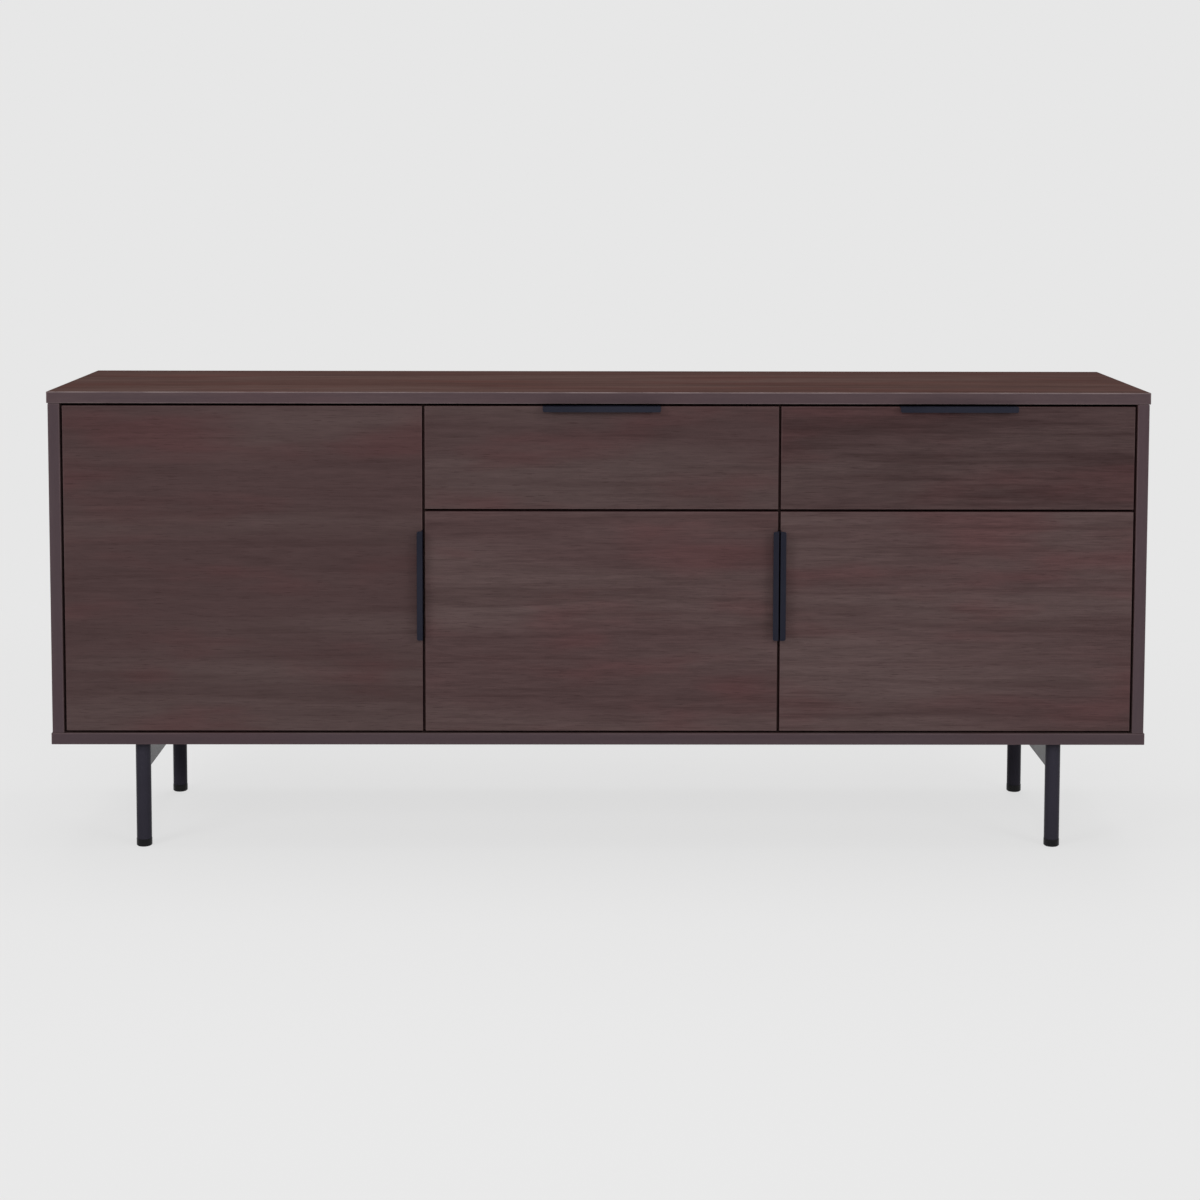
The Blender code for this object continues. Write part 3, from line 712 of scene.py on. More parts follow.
def tube_faces(rings: int, segments: int) -> list[list[int]]:
    """Faces of a tube of rings whose two ends run to a single point each.

    Point 0 is the first end, then come the rings, and the last point is the other end.

    Args:
        rings: How many rings there are.
        segments: How many points each ring has.

    Returns:
        The faces.
    """
    step = np.arange(segments)
    following = (step + 1) % segments
    last = rings * segments + 1
    start = np.stack([np.zeros(segments, int), 1 + following, 1 + step], axis=1)
    rows = 1 + segments * np.arange(rings - 1)[:, None]
    ahead = rows + segments
    sides = np.stack([rows + step, rows + following, ahead + following, ahead + step], axis=2)
    top = 1 + (rings - 1) * segments
    end = np.stack([np.full(segments, last), top + step, top + following], axis=1)
    return start.tolist() + sides.reshape(-1, 4).tolist() + end.tolist()


def turned_surface(profile: Sequence[Pair], segments: int, shape: HeightChange | None = None) -> Surface:
    """A turned surface, closed at the axis.

    The point at angle a on a profile point (r, z) is (r cos a, r sin a, z + shape(r, a, z)).

    Args:
        profile: The (r, z) pairs from the bottom point on the axis to the top one.
        segments: How many steps the turn has.
        shape: A change in height that follows the radius, the angle and the height.

    Returns:
        The surface.
    """
    radius, height = np.array(profile).T
    angle = 2 * np.pi * np.arange(segments) / segments
    r, a = np.meshgrid(radius[1:-1], angle, indexing="ij")
    z = np.repeat(height[1:-1, None], segments, axis=1)
    raised = z if shape is None else z + shape(r, a, z)
    rings = np.stack([r * np.cos(a), r * np.sin(a), raised], axis=2).reshape(-1, 3)
    ends = np.array([[0.0, 0.0, height[0]], [0.0, 0.0, height[-1]]])
    if shape is not None:
        ends[1, 2] += float(shape(np.zeros(1), np.zeros(1), height[-1:])[0])
    points = np.concatenate([ends[:1], rings, ends[1:]])
    return Surface(points, tube_faces(len(radius) - 2, segments))


@dataclass(frozen=True)
class Screw:
    """A cross-head screw: a turned head whose top is pressed in by a four-armed recess.

    Attributes:
        head: The head's radius.
        crown: How far a domed head stands out, or 0 for a flush countersunk one.
        shank: The shank's radius.
        reach: How far the shank goes in.
    """

    head: float
    crown: float
    shank: float
    reach: float

    SEGMENTS = 24
    TOP_RINGS = 7
    # The recess as shares of the head's radius: its depth, and where an arm's side and its end ease out.
    RECESS_DEPTH = 0.32
    ARM_SIDE = (0.10, 0.20)
    ARM_END = (0.54, 0.66)
    # How far under the top a point still counts as on it.
    TOP_TOLERANCE = 1e-6
    # The rim of a domed head as a share of its crown, and the edge under it as a share of its radius.
    RIM_HEIGHT = 0.25
    RIM_UNDER = 0.97
    # The rounded rim of a flush head as shares of its taper: in from the rim, and two depths below the top.
    FLUSH_RIM = (0.02, 0.12, 0.03)

    def recess(self, r: np.ndarray, a: np.ndarray, z: np.ndarray) -> np.ndarray:
        """The recess's depth: arms along the two axes, which fade out towards the rim.

        With s for r times the lesser of |sin a| and |cos a|, the depth is 0.32 of the head's radius, times 1
        falling to 0 as s goes from 0.10 to 0.20 of that radius, times 1 falling to 0 as r goes from 0.54 to
        0.66 of it. Points under the top stay where they are.

        Args:
            r: The radius of each point.
            a: Its angle.
            z: Its height before the recess.

        Returns:
            The change in height.
        """
        across = np.minimum(np.abs(np.sin(a)), np.abs(np.cos(a))) * r
        eased = [np.clip((outer * self.head - way) / ((outer - inner) * self.head), 0.0, 1.0)
                 for way, (inner, outer) in ((across, self.ARM_SIDE), (r, self.ARM_END))]
        return -self.RECESS_DEPTH * self.head * eased[0] * eased[1] * (z > -self.TOP_TOLERANCE)

    def surface(self) -> Surface:
        """The screw about its own axis, with the face that it bears on at zero and its head towards +Z.

        Returns:
            The surface.
        """
        low = [(0.0, -self.reach), (self.shank, -self.reach)]
        inward = np.linspace(1.0, 0.0, self.TOP_RINGS + 1)[1:]
        if self.crown:
            rim = self.crown * self.RIM_HEIGHT
            low += [(self.shank, 0.0), (self.head * self.RIM_UNDER, 0.0), (self.head, rim)]
            top = [(self.head * s, rim + (self.crown - rim) * math.sqrt(1.0 - s * s)) for s in inward]
        else:
            taper = self.head - self.shank
            inset, lower, upper = (share * taper for share in self.FLUSH_RIM)
            low += [(self.shank, -taper), (self.head - inset, -lower), (self.head, -upper)]
            top = [(self.head * s, 0.0) for s in inward]
        return turned_surface(low + top, self.SEGMENTS, self.recess)


@dataclass(frozen=True)
class Disc:
    """A disc that lies on zero, with a rounded rim and a slightly domed top.

    Attributes:
        radius: The disc's radius.
        height: The height of its rim.
        edge: The radius of the rim's rounding.
        dome: How far the middle rises over the rim.
        segments: How many steps the turn has.
    """

    radius: float
    height: float
    edge: float
    dome: float
    segments: int

    RIM_POINTS = 4
    TOP_RINGS = (0.66, 0.33, 0.0)

    def surface(self) -> Surface:
        """The disc about its own axis.

        The rim follows a quarter round of radius edge. From there the top rises by dome times one less the
        square of the radius over the radius where the rim ends.

        Returns:
            The surface.
        """
        turn = np.linspace(0.0, np.pi / 2, self.RIM_POINTS)
        inner = self.radius - self.edge
        lower = self.height - self.edge
        rim = np.stack([inner + self.edge * np.cos(turn), lower + self.edge * np.sin(turn)], axis=1)
        share = np.array(self.TOP_RINGS)
        top = np.stack([inner * share, self.height + self.dome * (1.0 - share ** 2)], axis=1)
        profile = [(0.0, 0.0), (self.radius, 0.0), *rim.tolist(), *top.tolist()]
        return turned_surface(profile, self.segments)


PULL_SCREW = Screw(head=0.0031, crown=0.0, shank=0.0016, reach=0.00145)
PLATE_SCREW = Screw(head=0.0031, crown=0.0, shank=0.0016, reach=0.0028)
ADJUSTING_SCREW = Screw(head=0.0029, crown=0.0009, shank=0.0015, reach=0.0004)
SLIDE_SCREW = Screw(head=0.0034, crown=0.0016, shank=0.0016, reach=0.0010)
RAIL_SCREW = Screw(head=0.0036, crown=0.0020, shank=0.0016, reach=0.0012)
CAM_COVER = Disc(radius=0.0085, height=0.0009, edge=0.0006, dome=0.0002, segments=28)
NAIL_HEAD = Disc(radius=0.0016, height=0.0005, edge=0.0003, dome=0.0001, segments=12)
BUMPER_PAD = Disc(radius=0.0029, height=0.0018, edge=0.0010, dome=0.0004, segments=24)
# How far a flush screw's top lies under the face around it.
SCREW_SINK = 0.0001
PULL_SCREW_SPACING = 0.128
CREASE = math.radians(38.0)


@dataclass(frozen=True)
class Bead:
    """A weld bead: a round section carried along a path, whose radius rises and falls as the weld was laid.

    Attributes:
        radius: The bead's middle radius.
        ripple: How much the radius changes, as a share of it.
        pitch: The length of one ripple.
        segments: How many points the section has.
        nose: How far each end stands out, as a share of the radius.
    """

    radius: float = 0.0011
    ripple: float = 0.10
    pitch: float = 0.0026
    segments: int = 10
    nose: float = 0.6

    def along(self, path: np.ndarray) -> Surface:
        """Lays the bead along a path.

        At length s along the path the radius is radius times (1 + ripple cos(2 pi s / pitch)). The section
        lies square to the path. It is spanned by the side, which is the path's way crossed with +Y, and by
        the path's way crossed with the side.

        Args:
            path: The path's points, one row each.

        Returns:
            The surface, closed by a point at each end.
        """
        ahead = np.gradient(path, axis=0)
        ahead /= np.linalg.norm(ahead, axis=1, keepdims=True)
        side = np.cross(ahead, np.array([0.0, 1.0, 0.0]))
        side /= np.linalg.norm(side, axis=1, keepdims=True)
        other = np.cross(ahead, side)
        length = np.concatenate([[0.0], np.cumsum(np.linalg.norm(np.diff(path, axis=0), axis=1))])
        size = self.radius * (1.0 + self.ripple * np.cos(2 * np.pi * length / self.pitch))
        angle = 2 * np.pi * np.arange(self.segments) / self.segments
        cosine, sine = np.cos(angle)[None, :, None], np.sin(angle)[None, :, None]
        rings = path[:, None] + (side[:, None] * cosine + other[:, None] * sine) * size[:, None, None]
        ends = path[[0, -1]] + ahead[[0, -1]] * np.array([[-self.radius], [self.radius]]) * self.nose
        points = np.concatenate([ends[:1], rings.reshape(-1, 3), ends[1:]])
        return Surface(points, tube_faces(len(path), self.segments))


def link(name: str, data: bpy.types.ID) -> bpy.types.Object:
    """Puts one new object into the scene, at the origin.

    Args:
        name: Its name.
        data: Its mesh, light or camera.

    Returns:
        The object.
    """
    thing = bpy.data.objects.new(name, data)
    bpy.context.scene.collection.objects.link(thing)
    return thing


def make_piece(name: str, surfaces: Sequence[Surface], finish: PlainFinish, body: str) -> None:
    """Makes one object of the scene from surfaces in the model's own frame.

    Args:
        name: The piece's name.
        surfaces: Its surfaces.
        finish: Its finish.
        body: The body that it moves with.
    """
    starts = np.cumsum([0] + [len(surface.points) for surface in surfaces])
    points = np.concatenate([surface.points for surface in surfaces])
    faces = [[int(start) + number for number in face]
             for start, surface in zip(starts, surfaces) for face in surface.faces]
    material = finish.material()
    mesh = bpy.data.meshes.new(name)
    mesh.from_pydata(points.tolist(), [], faces)
    mesh.materials.append(material)
    mesh.shade_smooth()
    mesh.set_sharp_from_angle(angle=CREASE)
    piece = link(name, mesh)
    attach(piece, body)
    LOG.info("%s: %d faces on %s", name, len(faces), body)


class Dresser:
    """Puts finishes on the model's own nodes."""

    # How light a board is against the others, and how strongly its fine grain shows against theirs.
    LOOKS = {"left_door": (0.92, 0.9), "middle_door": (1.04, 1.3), "right_door": (1.05, 1.35),
             "middle_drawer_front": (0.885, 1.05), "right_drawer_front": (0.83, 1.7),
             "top_panel": (1.0, 1.3)}
    # How far from the middle the outer faces of the side panels are.
    SIDE_OUTER_X = 0.898

    def __init__(self, nodes: dict[str, bpy.types.Object]) -> None:
        """Keeps the nodes and starts the count that keeps boards from matching."""
        self.nodes = nodes
        self.count = 0

    def paint(self, node: str, material: Material) -> None:
        """Puts one material on every slot of a node.

        Args:
            node: The node's name.
            material: The finish.
        """
        for slot in self.nodes[node].material_slots:
            slot.material = material
        LOG.info("%s: %s", node, material.name)

    def board(self, node: str, laminate: Laminate, thickness: Thickness, grain: Grain = Grain.ALONG_WIDTH,
              sheet: float | None = None) -> None:
        """Covers one board with laminate.

        Args:
            node: The board's name.
            laminate: The laminate.
            thickness: The axis that it is thin along.
            grain: The way that its grain runs.
            sheet: The board's own thickness, where pins that stand out of it make its box wider.
        """
        low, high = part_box(node)
        centre, half = (low + high) / 2, (high - low) / 2
        if sheet:
            outer = max(abs(low.x), abs(high.x))
            if outer > self.SIDE_OUTER_X - sheet:
                centre.x = math.copysign(outer - sheet / 2, centre.x)
            half.x = sheet / 2
        tone, figure = self.LOOKS.get(node, (1.0, 1.0))
        board = Board(node, tuple(centre), tuple(half), thickness, grain, sheet is not None, tone, figure)
        self.count += 1
        self.paint(node, laminate.material(board, self.count))


@dataclass(frozen=True)
class WallFace:
    """An upright face inside the cabinet.

    Attributes:
        x: Its place along the width.
        way: +1 where it faces right, -1 where it faces left.
    """

    x: float
    way: float


LEFT_COLUMN = (WallFace(-0.879, 1.0), WallFace(-0.2965, -1.0))
MIDDLE_COLUMN = (WallFace(-0.2775, 1.0), WallFace(0.2855, -1.0))
RIGHT_COLUMN = (WallFace(0.3045, 1.0), WallFace(0.879, -1.0))


def cam_covers(name: str, body: str, faces: Sequence[WallFace], depths: Sequence[float],
               heights: Sequence[float]) -> None:
    """Makes the round covers over the cam fittings in upright faces.

    Args:
        name: The piece's name.
        body: The body that it moves with.
        faces: The faces.
        depths: How far back the covers sit on each face.
        heights: How high they sit at each depth.
    """
    disc = CAM_COVER.surface()
    covers = [disc.placed((face.x, y, z), (face.way, 0.0, 0.0))
              for face in faces for y in depths for z in heights]
    make_piece(name, covers, BROWN_PLASTIC, body)


def pull_screws(body: str, middle: Triple, along: Triple, axis: Triple) -> None:
    """Makes the two countersunk screws of a pull.

    Args:
        body: The body that the pull is on, which also names the piece.
        middle: The point halfway between the two heads.
        along: The way from one screw to the other.
        axis: The way that the heads face.
    """
    screw = PULL_SCREW.surface()
    offset = np.array(along) * PULL_SCREW_SPACING / 2
    screws = [screw.placed(np.array(middle) + way * offset, axis) for way in (-1, 1)]
    make_piece(f"{body}_handle_screws", screws, PULL_BLUE_BLACK, body)


@dataclass
class Carcass:
    """The fixed cabinet: its boards, the cam covers on its walls and the nails in its back.

    Attributes:
        sheet: The thickness of its boards.
        cover_depths: How far back the cam covers sit.
        cover_heights: How high they sit.
        divider_x: The middles of the dividers.
        divider_nails: The lowest and the highest nail in each divider, and how many there are.
        deck_x: The middles of the decks.
        deck_nails: The outermost nails in each deck from its middle, and how many there are.
        deck_z: The height of the decks' middle.
        back_y: The rear face of the back panel.
    """

    sheet: float = 0.019
    cover_depths: Pair = (-0.120, 0.140)
    cover_heights: Pair = (0.228, 0.709)
    divider_x: Pair = (-0.287, 0.295)
    divider_nails: tuple[float, float, int] = (0.215, 0.722, 6)
    deck_x: Pair = (0.004, 0.592)
    deck_nails: tuple[float, float, int] = (-0.18, 0.18, 4)
    deck_z: float = 0.566
    back_y: float = 0.2035

    def dress(self, dresser: Dresser) -> None:
        """Covers the boards.

        Args:
            dresser: What puts the finishes on.
        """
        dresser.board("top_panel", TOP_LAMINATE, Thickness.UPRIGHT)
        dresser.board("bottom_panel", CASE_LAMINATE, Thickness.UPRIGHT)
        for kind, laminate in (("side_panel", CASE_LAMINATE), ("divider", LINING_LAMINATE)):
            for side in ("left", "right"):
                dresser.board(f"{side}_{kind}", laminate, Thickness.ACROSS, Grain.ALONG_HEIGHT, self.sheet)
        for node in ("middle_drawer_deck", "right_drawer_deck", "left_shelf", "middle_shelf", "right_shelf"):
            dresser.board(node, LINING_LAMINATE, Thickness.UPRIGHT)
        dresser.board("back_panel", THIN_BOARD, Thickness.DEEP)

    def back_nails(self) -> None:
        """Makes the small flat nails that hold the back panel to the dividers and decks."""
        head = NAIL_HEAD.surface()
        places = [(x, z) for x in self.divider_x for z in np.linspace(*self.divider_nails)]
        places += [(middle + x, self.deck_z)
                   for middle in self.deck_x for x in np.linspace(*self.deck_nails)]
        nails = [head.placed((x, self.back_y, z), (0.0, 1.0, 0.0)) for x, z in places]
        make_piece("back_panel_nails", nails, NICKEL, "cabinet")

    def build(self, dresser: Dresser) -> None:
        """Dresses the cabinet and adds its fittings.

        Args:
            dresser: What puts the finishes on.
        """
        self.dress(dresser)
        walls = LEFT_COLUMN + MIDDLE_COLUMN + RIGHT_COLUMN
        cam_covers("cam_covers", "cabinet", walls, self.cover_depths, self.cover_heights)
        self.back_nails()


@dataclass
class Door:
    """One door with its pull, hinges, screws and bumper pads.

    Attributes:
        column: The column that it closes.
        wall: The wall face that carries its hinges.
        pull_x: The outer face of the pull's plate.
        pad_x: The middle of its bumper pads.
        hinge_heights: The heights of its two hinges.
        top_z: Its top edge.
        bottom_z: Its bottom edge.
        pad_inset: How far its pads are from those edges.
        pull_z: The height of the pull's middle.
        edge_middle_y: The middle of the door's thickness.
        back_y: The door's inner face.
        plate_face: How far the face of a hinge's plate is from the wall.
        arm_face: How far the face of a hinge's arm is from the wall.
        plate_screw_y: How far back the plate's screws are.
        plate_screw_offset: How far above and below the hinge's middle they are.
        adjuster_depths: How far back the adjusting screws are.
    """

    column: str
    wall: WallFace
    pull_x: float
    pad_x: float
    hinge_heights: Pair
    top_z: float
    bottom_z: float = 0.200
    pad_inset: float = 0.018
    pull_z: float = 0.443
    edge_middle_y: float = -0.183
    back_y: float = -0.1735
    plate_face: float = 0.0033
    arm_face: float = 0.0093
    plate_screw_y: float = -0.1525
    plate_screw_offset: float = 0.016
    adjuster_depths: Pair = (-0.147, -0.122)

    @property
    def name(self) -> str:
        """The name of the door's node and of its body."""
        return f"{self.column}_door"

    def dress(self, dresser: Dresser) -> None:
        """Puts the finishes on the door, its pull and its hinges.

        Args:
            dresser: What puts the finishes on.
        """
        dresser.board(self.name, FRONT_LAMINATE, Thickness.DEEP)
        dresser.paint(f"{self.name}_handle", PULL_BLUE_BLACK.material())
        nickel = NICKEL.material()
        for level in ("lower", "upper"):
            for half in ("cup", "arm"):
                dresser.paint(f"{self.name}_{level}_hinge_{half}", nickel)

    def hinge_screws(self) -> None:
        """Makes the plate screws and the two adjusting screws of each hinge."""
        plate, adjuster = PLATE_SCREW.surface(), ADJUSTING_SCREW.surface()
        axis = (self.wall.way, 0.0, 0.0)
        plate_x = self.wall.x + self.wall.way * (self.plate_face - SCREW_SINK)
        arm_x = self.wall.x + self.wall.way * self.arm_face
        screws = []
        for z in self.hinge_heights:
            screws += [plate.placed((plate_x, self.plate_screw_y, z + way * self.plate_screw_offset), axis)
                       for way in (-1, 1)]
            screws += [adjuster.placed((arm_x, y, z), axis) for y in self.adjuster_depths]
        make_piece(f"{self.name}_hinge_screws", screws, NICKEL, "cabinet")

    def bumper_pads(self) -> None:
        """Makes the soft pads that the door closes on, in its free corners."""
        pad = BUMPER_PAD.surface()
        pads = [pad.placed((self.pad_x, self.back_y, z), (0.0, 1.0, 0.0))
                for z in (self.bottom_z + self.pad_inset, self.top_z - self.pad_inset)]
        make_piece(f"{self.name}_bumper_pads", pads, SOFT_PAD, self.name)

    def build(self, dresser: Dresser) -> None:
        """Dresses the door and adds its fittings.

        Args:
            dresser: What puts the finishes on.
        """
        self.dress(dresser)
        middle = (self.pull_x - self.wall.way * SCREW_SINK, self.edge_middle_y, self.pull_z)
        pull_screws(self.name, middle, (0.0, 0.0, 1.0), (self.wall.way, 0.0, 0.0))
        self.hinge_screws()
        self.bumper_pads()


@dataclass
class Drawer:
    """One drawer with its pull, box, slides and screws.

    Attributes:
        column: The column that it slides in.
        walls: The wall faces beside it.
        centre_x: The middle of its front.
        pull_z: The upper face of the pull's plate.
        edge_middle_y: The middle of the front's thickness.
        slide_z: The height of the slides' middle.
        slide_face: How far the screws on the slides' drawer members are from the walls.
        slide_screws: How far back those screws are.
        box_inset: How far the inner faces of the box's sides are from the walls.
        cover_depths: How far back the cam covers sit.
        cover_heights: How high they sit.
    """

    column: str
    walls: tuple[WallFace, WallFace]
    centre_x: float
    pull_z: float = 0.7376
    edge_middle_y: float = -0.183
    slide_z: float = 0.6475
    slide_face: float = 0.0112
    slide_screws: Triple = (-0.136, -0.010, 0.128)
    box_inset: float = 0.0247
    cover_depths: tuple[float] = (-0.140,)
    cover_heights: Pair = (0.620, 0.683)

    @property
    def name(self) -> str:
        """The name of the drawer's body, which all of its nodes start with."""
        return f"{self.column}_drawer"

    def dress(self, dresser: Dresser) -> None:
        """Puts the finishes on the front, the pull, the box and the slides.

        Args:
            dresser: What puts the finishes on.
        """
        dresser.board(f"{self.name}_front", FRONT_LAMINATE, Thickness.DEEP)
        dresser.paint(f"{self.name}_handle", PULL_BLUE_BLACK.material())
        for side in ("left", "right"):
            dresser.board(f"{self.name}_{side}_side", LINING_LAMINATE, Thickness.ACROSS, Grain.ALONG_DEPTH)
        dresser.board(f"{self.name}_back", LINING_LAMINATE, Thickness.DEEP)
        dresser.board(f"{self.name}_bottom", THIN_BOARD, Thickness.UPRIGHT)
        zinc = ZINC.material()
        for side in ("left", "right"):
            for member in ("cabinet", "middle", "drawer"):
                dresser.paint(f"{self.name}_{side}_slide_{member}_member", zinc)

    def slide_fixings(self) -> None:
        """Makes the domed screws that hold the slides' drawer members to the box."""
        screw = SLIDE_SCREW.surface()
        screws = [screw.placed((wall.x + wall.way * self.slide_face, y, self.slide_z), (-wall.way, 0.0, 0.0))
                  for wall in self.walls for y in self.slide_screws]
        make_piece(f"{self.name}_slide_screws", screws, ZINC, self.name)

    def build(self, dresser: Dresser) -> None:
        """Dresses the drawer and adds its fittings.

        Args:
            dresser: What puts the finishes on.
        """
        self.dress(dresser)
        middle = (self.centre_x, self.edge_middle_y, self.pull_z - SCREW_SINK)
        pull_screws(self.name, middle, (1.0, 0.0, 0.0), (0.0, 0.0, 1.0))
        self.slide_fixings()
        sides = [WallFace(wall.x + wall.way * self.box_inset, wall.way) for wall in self.walls]
        cam_covers(f"{self.name}_cam_covers", self.name, sides, self.cover_depths, self.cover_heights)


@dataclass
class LegFrame:
    """One welded leg frame with its weld beads, its screws and its glides.

    Attributes:
        name: The end of the cabinet that it carries.
        x: Its place along the width.
        leg_y: The middles of its two legs.
        leg_radius: The radius of their tube.
        rail_half: Half the width of its rail.
        rail_top: The height of the rail's top.
        rail_height: How tall the rail is.
        rail_wall: The thickness of its wall, which its corners are rounded by too.
        screw_depths: How far back the screws in it are.
        bead: The weld bead.
    """

    name: str
    x: float
    leg_y: Pair = (-0.1635, 0.1765)
    leg_radius: float = 0.0125
    rail_half: float = 0.010
    rail_top: float = 0.1767
    rail_height: float = 0.045
    rail_wall: float = 0.0015
    screw_depths: Triple = (-0.1035, 0.0065, 0.1165)
    bead: Bead = Bead()

    # How many points the weld's path has down a side of the rail, round a corner and under the rail.
    SIDE_POINTS = 28
    CORNER_POINTS = 5
    UNDER_POINTS = 12

    def dress(self, dresser: Dresser) -> None:
        """Puts the finishes on the frame and its glides.

        Args:
            dresser: What puts the finishes on.
        """
        dresser.paint(f"{self.name}_leg_frame", LEG_BLACK.material())
        plastic = BLACK_PLASTIC.material()
        for end in ("front", "rear"):
            dresser.paint(f"{end}_{self.name}_foot_glide", plastic)

    def weld_path(self, y: float, way: float) -> np.ndarray:
        """The line where the rail meets a leg: down one side of the rail, across under it and up the other.

        Each point lies on the leg's tube, so its depth is the tube's middle plus or minus the root of the
        tube's radius squared less the sideways distance squared.

        Args:
            y: The middle of the leg.
            way: +1 where the rail leaves it towards the back, -1 towards the front.

        Returns:
            The path's points, one row each.
        """
        corner = self.rail_wall
        inner, bottom = self.rail_half - corner, self.rail_top - self.rail_height
        low = bottom + corner
        quarter = np.linspace(0.0, np.pi / 2, self.CORNER_POINTS)[1:]
        down = np.linspace(self.rail_top - corner, low, self.SIDE_POINTS)
        left = np.stack([np.full_like(down, -self.rail_half), down], axis=1)
        bend = np.stack([-inner - corner * np.cos(quarter), low - corner * np.sin(quarter)], axis=1)
        across = np.linspace(-inner, inner, self.UNDER_POINTS)[1:-1]
        under = np.stack([across, np.full_like(across, bottom)], axis=1)
        half = np.concatenate([left, bend])
        flat = np.concatenate([half, under, half[::-1] * np.array([-1.0, 1.0])])
        depth = np.sqrt(self.leg_radius ** 2 - flat[:, 0] ** 2)
        return np.stack([self.x + flat[:, 0], y + way * depth, flat[:, 1]], axis=1)

    def welds(self) -> None:
        """Makes the weld beads between the rail and its two legs."""
        beads = [self.bead.along(self.weld_path(y, way)) for y, way in zip(self.leg_y, (1.0, -1.0))]
        make_piece(f"{self.name}_leg_frame_welds", beads, LEG_BLACK, "cabinet")

    def rail_screws(self) -> None:
        """Makes the screws inside the rail, which hold the frame to the bottom panel."""
        screw = RAIL_SCREW.surface()
        bearing = self.rail_top - self.rail_wall
        screws = [screw.placed((self.x, y, bearing), (0.0, 0.0, -1.0)) for y in self.screw_depths]
        make_piece(f"{self.name}_leg_frame_screws", screws, ZINC, "cabinet")

    def build(self, dresser: Dresser) -> None:
        """Dresses the frame and adds its fittings.

        Args:
            dresser: What puts the finishes on.
        """
        self.dress(dresser)
        self.welds()
        self.rail_screws()


@dataclass(frozen=True)
class Lamp:
    """One soft rectangular lamp.

    Attributes:
        name: Its name.
        place: Where it hangs.
        aim: What it points at.
        size: Its width and height.
        power: Its power in watts.
    """

    name: str
    place: Triple
    aim: Triple
    size: Pair
    power: float

    def build(self) -> None:
        """Makes the lamp."""
        light = bpy.data.lights.new(self.name, "AREA")
        light.shape = "RECTANGLE"
        light.size, light.size_y = self.size
        light.energy = self.power
        way = Vector(self.aim) - Vector(self.place)
        turn = way.to_track_quat("-Z", "Y").to_matrix().to_4x4()
        link(self.name, light).matrix_world = Matrix.Translation(self.place) @ turn


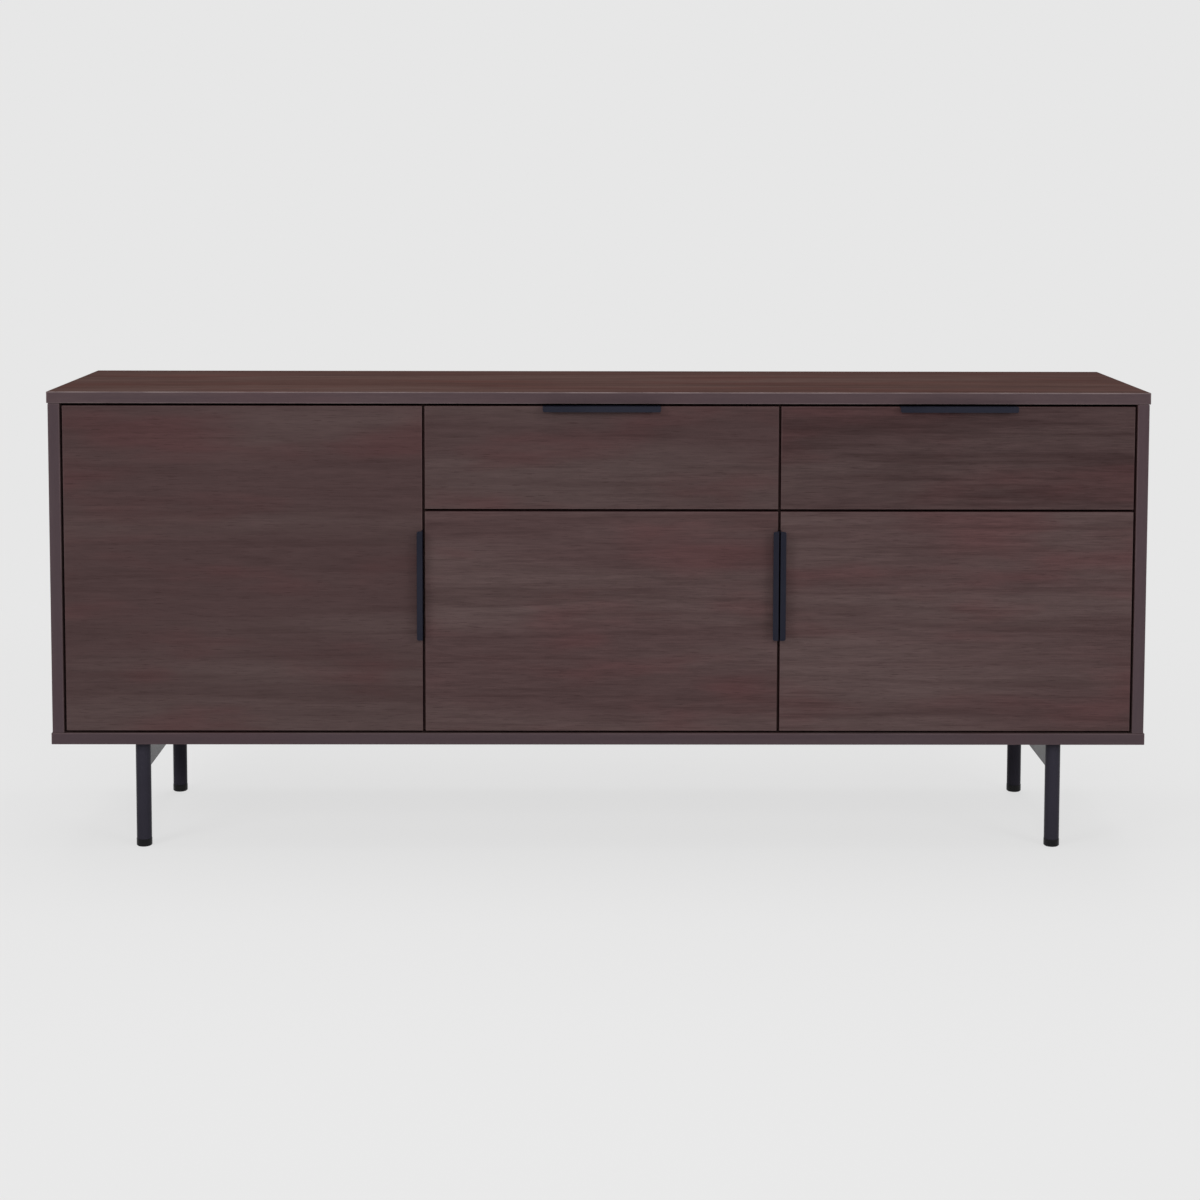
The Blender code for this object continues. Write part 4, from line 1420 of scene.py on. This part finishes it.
@dataclass
class Studio:
    """The pale floor, the pale surround and the lamps.

    Attributes:
        backdrop: The colour of the background.
        ambient: The strength of the light from all round.
        floor_colour: The floor's own colour.
        floor_roughness: Its roughness.
        floor_glow: How much of the floor near the object is lit by the backdrop's own colour.
        floor_reach: The width and the depth that the distance from the object's middle is measured in.
        floor_span: The distances where the floor starts to run out into the backdrop, and where it has.
        floor_rings: The radii of the floor's rings.
        floor_segments: How many steps the floor's round has.
        lamps: The lamps.
    """

    backdrop: Colour = from_screen(231, 231, 231)
    ambient: float = 0.42
    floor_colour: Colour = (0.84, 0.84, 0.84)
    floor_roughness: float = 0.9
    floor_glow: float = 0.80
    floor_reach: Pair = (1.9, 1.5)
    floor_span: Pair = (0.6, 1.5)
    floor_rings: tuple[float, ...] = (1.0, 3.0, 8.0, 16.0)
    floor_segments: int = 48
    lamps: tuple[Lamp, ...] = (
        Lamp("left_lamp", (-3.0, -3.0, 2.3), (-0.1, 0.0, 0.40), (1.4, 1.2), 50.0),
        Lamp("right_lamp", (3.0, -3.0, 2.1), (0.1, 0.0, 0.40), (1.4, 1.2), 41.0),
        Lamp("front_lamp", (0.0, -4.2, 1.9), (0.0, 0.0, 0.36), (1.4, 0.8), 53.0),
        Lamp("top_lamp", (0.0, 0.3, 3.6), (0.0, 0.0, 0.70), (3.4, 1.8), 38.0),
        Lamp("rear_lamp", (0.8, 4.2, 2.6), (0.0, 0.0, 0.45), (3.0, 2.0), 60.0),
    )

    def seen(self, graph: Graph) -> Socket:
        """One where a ray comes from the camera, or from a mirroring or clear surface.

        Args:
            graph: The graph to add nodes with.

        Returns:
            The mask.
        """
        rays = graph.add("LightPath").outputs
        kinds = ("Is Glossy Ray", "Is Transmission Ray", "Is Camera Ray")
        return graph.calc("MAXIMUM", *(rays[kind] for kind in kinds))

    def world(self) -> None:
        """Makes the surround: the backdrop's colour where it is seen, and plain white light elsewhere."""
        world = bpy.data.worlds.new("studio")
        bpy.context.scene.world = world
        world.use_nodes = True
        graph = Graph(world.node_tree)
        world.node_tree.nodes.clear()
        lighting = graph.add("Background", {"Color": (1.0, 1.0, 1.0), "Strength": self.ambient})
        shown = graph.add("Background", {"Color": self.backdrop, "Strength": 1.0})
        mixed = graph.add("MixShader", {0: self.seen(graph), 1: lighting.outputs[0], 2: shown.outputs[0]})
        graph.add("OutputWorld", {0: mixed.outputs[0]})

    def floor_material(self) -> Material:
        """Pale floor that takes the object's shadow near it and runs out into the backdrop.

        Returns:
            The material.
        """
        graph = MaterialGraph("pale_floor")
        graph.shade({"Base Color": self.floor_colour, "Roughness": self.floor_roughness,
                     "Specular IOR Level": 0.0})
        scale = (1 / self.floor_reach[0], 1 / self.floor_reach[1], 0.0)
        away = graph.vector("LENGTH", graph.vector("MULTIPLY", graph.place, scale))
        glow = graph.ramp(away, *self.floor_span, self.floor_glow, 1.0)
        light = graph.add("Emission", {"Color": self.backdrop, "Strength": 1.0})
        mixed = graph.add("MixShader", {0: graph.calc("MULTIPLY", glow, self.seen(graph)),
                                        1: graph.shader.outputs[0], 2: light.outputs[0]})
        graph.feed(graph.tree.nodes["Material Output"].inputs["Surface"], mixed.outputs[0])
        return graph.material

    def floor(self) -> None:
        """Makes the floor, a flat round grid: radius r and angle a give the point (r cos a, r sin a, 0)."""
        angle = 2 * np.pi * np.arange(self.floor_segments) / self.floor_segments
        r, a = np.meshgrid(self.floor_rings, angle, indexing="ij")
        rings = np.stack([r * np.cos(a), r * np.sin(a), np.zeros_like(r)], axis=2).reshape(-1, 3)
        points = np.concatenate([np.zeros((1, 3)), rings])
        faces = tube_faces(len(self.floor_rings), self.floor_segments)[:-self.floor_segments]
        mesh = bpy.data.meshes.new("floor")
        mesh.from_pydata(points.tolist(), [], [face[::-1] for face in faces])
        mesh.materials.append(self.floor_material())
        link("floor", mesh)

    def build(self) -> None:
        """Makes the whole studio."""
        self.world()
        self.floor()
        for lamp in self.lamps:
            lamp.build()
        LOG.info("studio: %d lamps", len(self.lamps))


@dataclass
class Camera:
    """The camera at the photograph's place and angle.

    Attributes:
        place: Where it stands.
        pitch: How far it looks down, in radians.
        yaw: How far it is turned about the upright.
        roll: How far it leans.
        lens_pixels: Its lens as a share of the sensor's width, times the frame's width.
        horizon_pixels: Where its own axis meets the frame, in pixels from the top.
        frame_pixels: The frame's width and height.
        sensor: The sensor's width in millimetres.
        far: How far it sees.
    """

    place: Triple = (-0.02074, -3.92831, 1.11817)
    pitch: float = 0.07508
    yaw: float = -0.00578
    roll: float = 0.00198
    lens_pixels: float = 2304.13
    horizon_pixels: float = 345.0
    frame_pixels: float = 1200.0
    sensor: float = 36.0
    far: float = 100.0

    def build(self) -> None:
        """Makes the camera and looks through it."""
        right = Vector((math.cos(self.yaw), math.sin(self.yaw), 0.0))
        ahead = Vector((-math.sin(self.yaw), math.cos(self.yaw), 0.0))
        up = ahead * math.sin(self.pitch) + Vector((0.0, 0.0, math.cos(self.pitch)))
        ahead = ahead * math.cos(self.pitch) - Vector((0.0, 0.0, math.sin(self.pitch)))
        leaned_right = right * math.cos(self.roll) + up * math.sin(self.roll)
        leaned_up = up * math.cos(self.roll) - right * math.sin(self.roll)
        data = bpy.data.cameras.new("camera")
        data.sensor_width = self.sensor
        data.lens = self.lens_pixels / self.frame_pixels * self.sensor
        data.shift_y = (self.horizon_pixels - self.frame_pixels / 2) / self.frame_pixels
        data.clip_end = self.far
        camera = link("camera", data)
        axes = Matrix((leaned_right, leaned_up, -ahead)).transposed()
        camera.matrix_world = Matrix.Translation(self.place) @ axes.to_4x4()
        bpy.context.scene.camera = camera
        LOG.info("camera: lens %.2f mm, shift %.4f", data.lens, data.shift_y)


def main() -> None:
    """Builds the scene: the camera and studio, then each sub-assembly in turn."""
    logging.basicConfig(level=logging.INFO, format="%(name)s: %(message)s")
    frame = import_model()
    bpy.context.scene.view_settings.view_transform = "Standard"
    Camera().build()
    Studio().build()
    dresser = Dresser(frame["nodes"])
    sub_assemblies = (
        Carcass(),
        Door("left", LEFT_COLUMN[0], pull_x=-0.2884, pad_x=-0.2925,
             hinge_heights=(0.280, 0.657), top_z=0.737),
        Door("middle", MIDDLE_COLUMN[0], pull_x=0.2936, pad_x=0.2892,
             hinge_heights=(0.280, 0.484), top_z=0.564),
        Door("right", RIGHT_COLUMN[1], pull_x=0.2964, pad_x=0.3008,
             hinge_heights=(0.280, 0.484), top_z=0.564),
        Drawer("middle", MIDDLE_COLUMN, centre_x=0.004),
        Drawer("right", RIGHT_COLUMN, centre_x=0.586),
        LegFrame("left", x=-0.755),
        LegFrame("right", x=0.755),
    )
    for sub_assembly in sub_assemblies:
        sub_assembly.build(dresser)


if __name__ == "__main__":
    main()
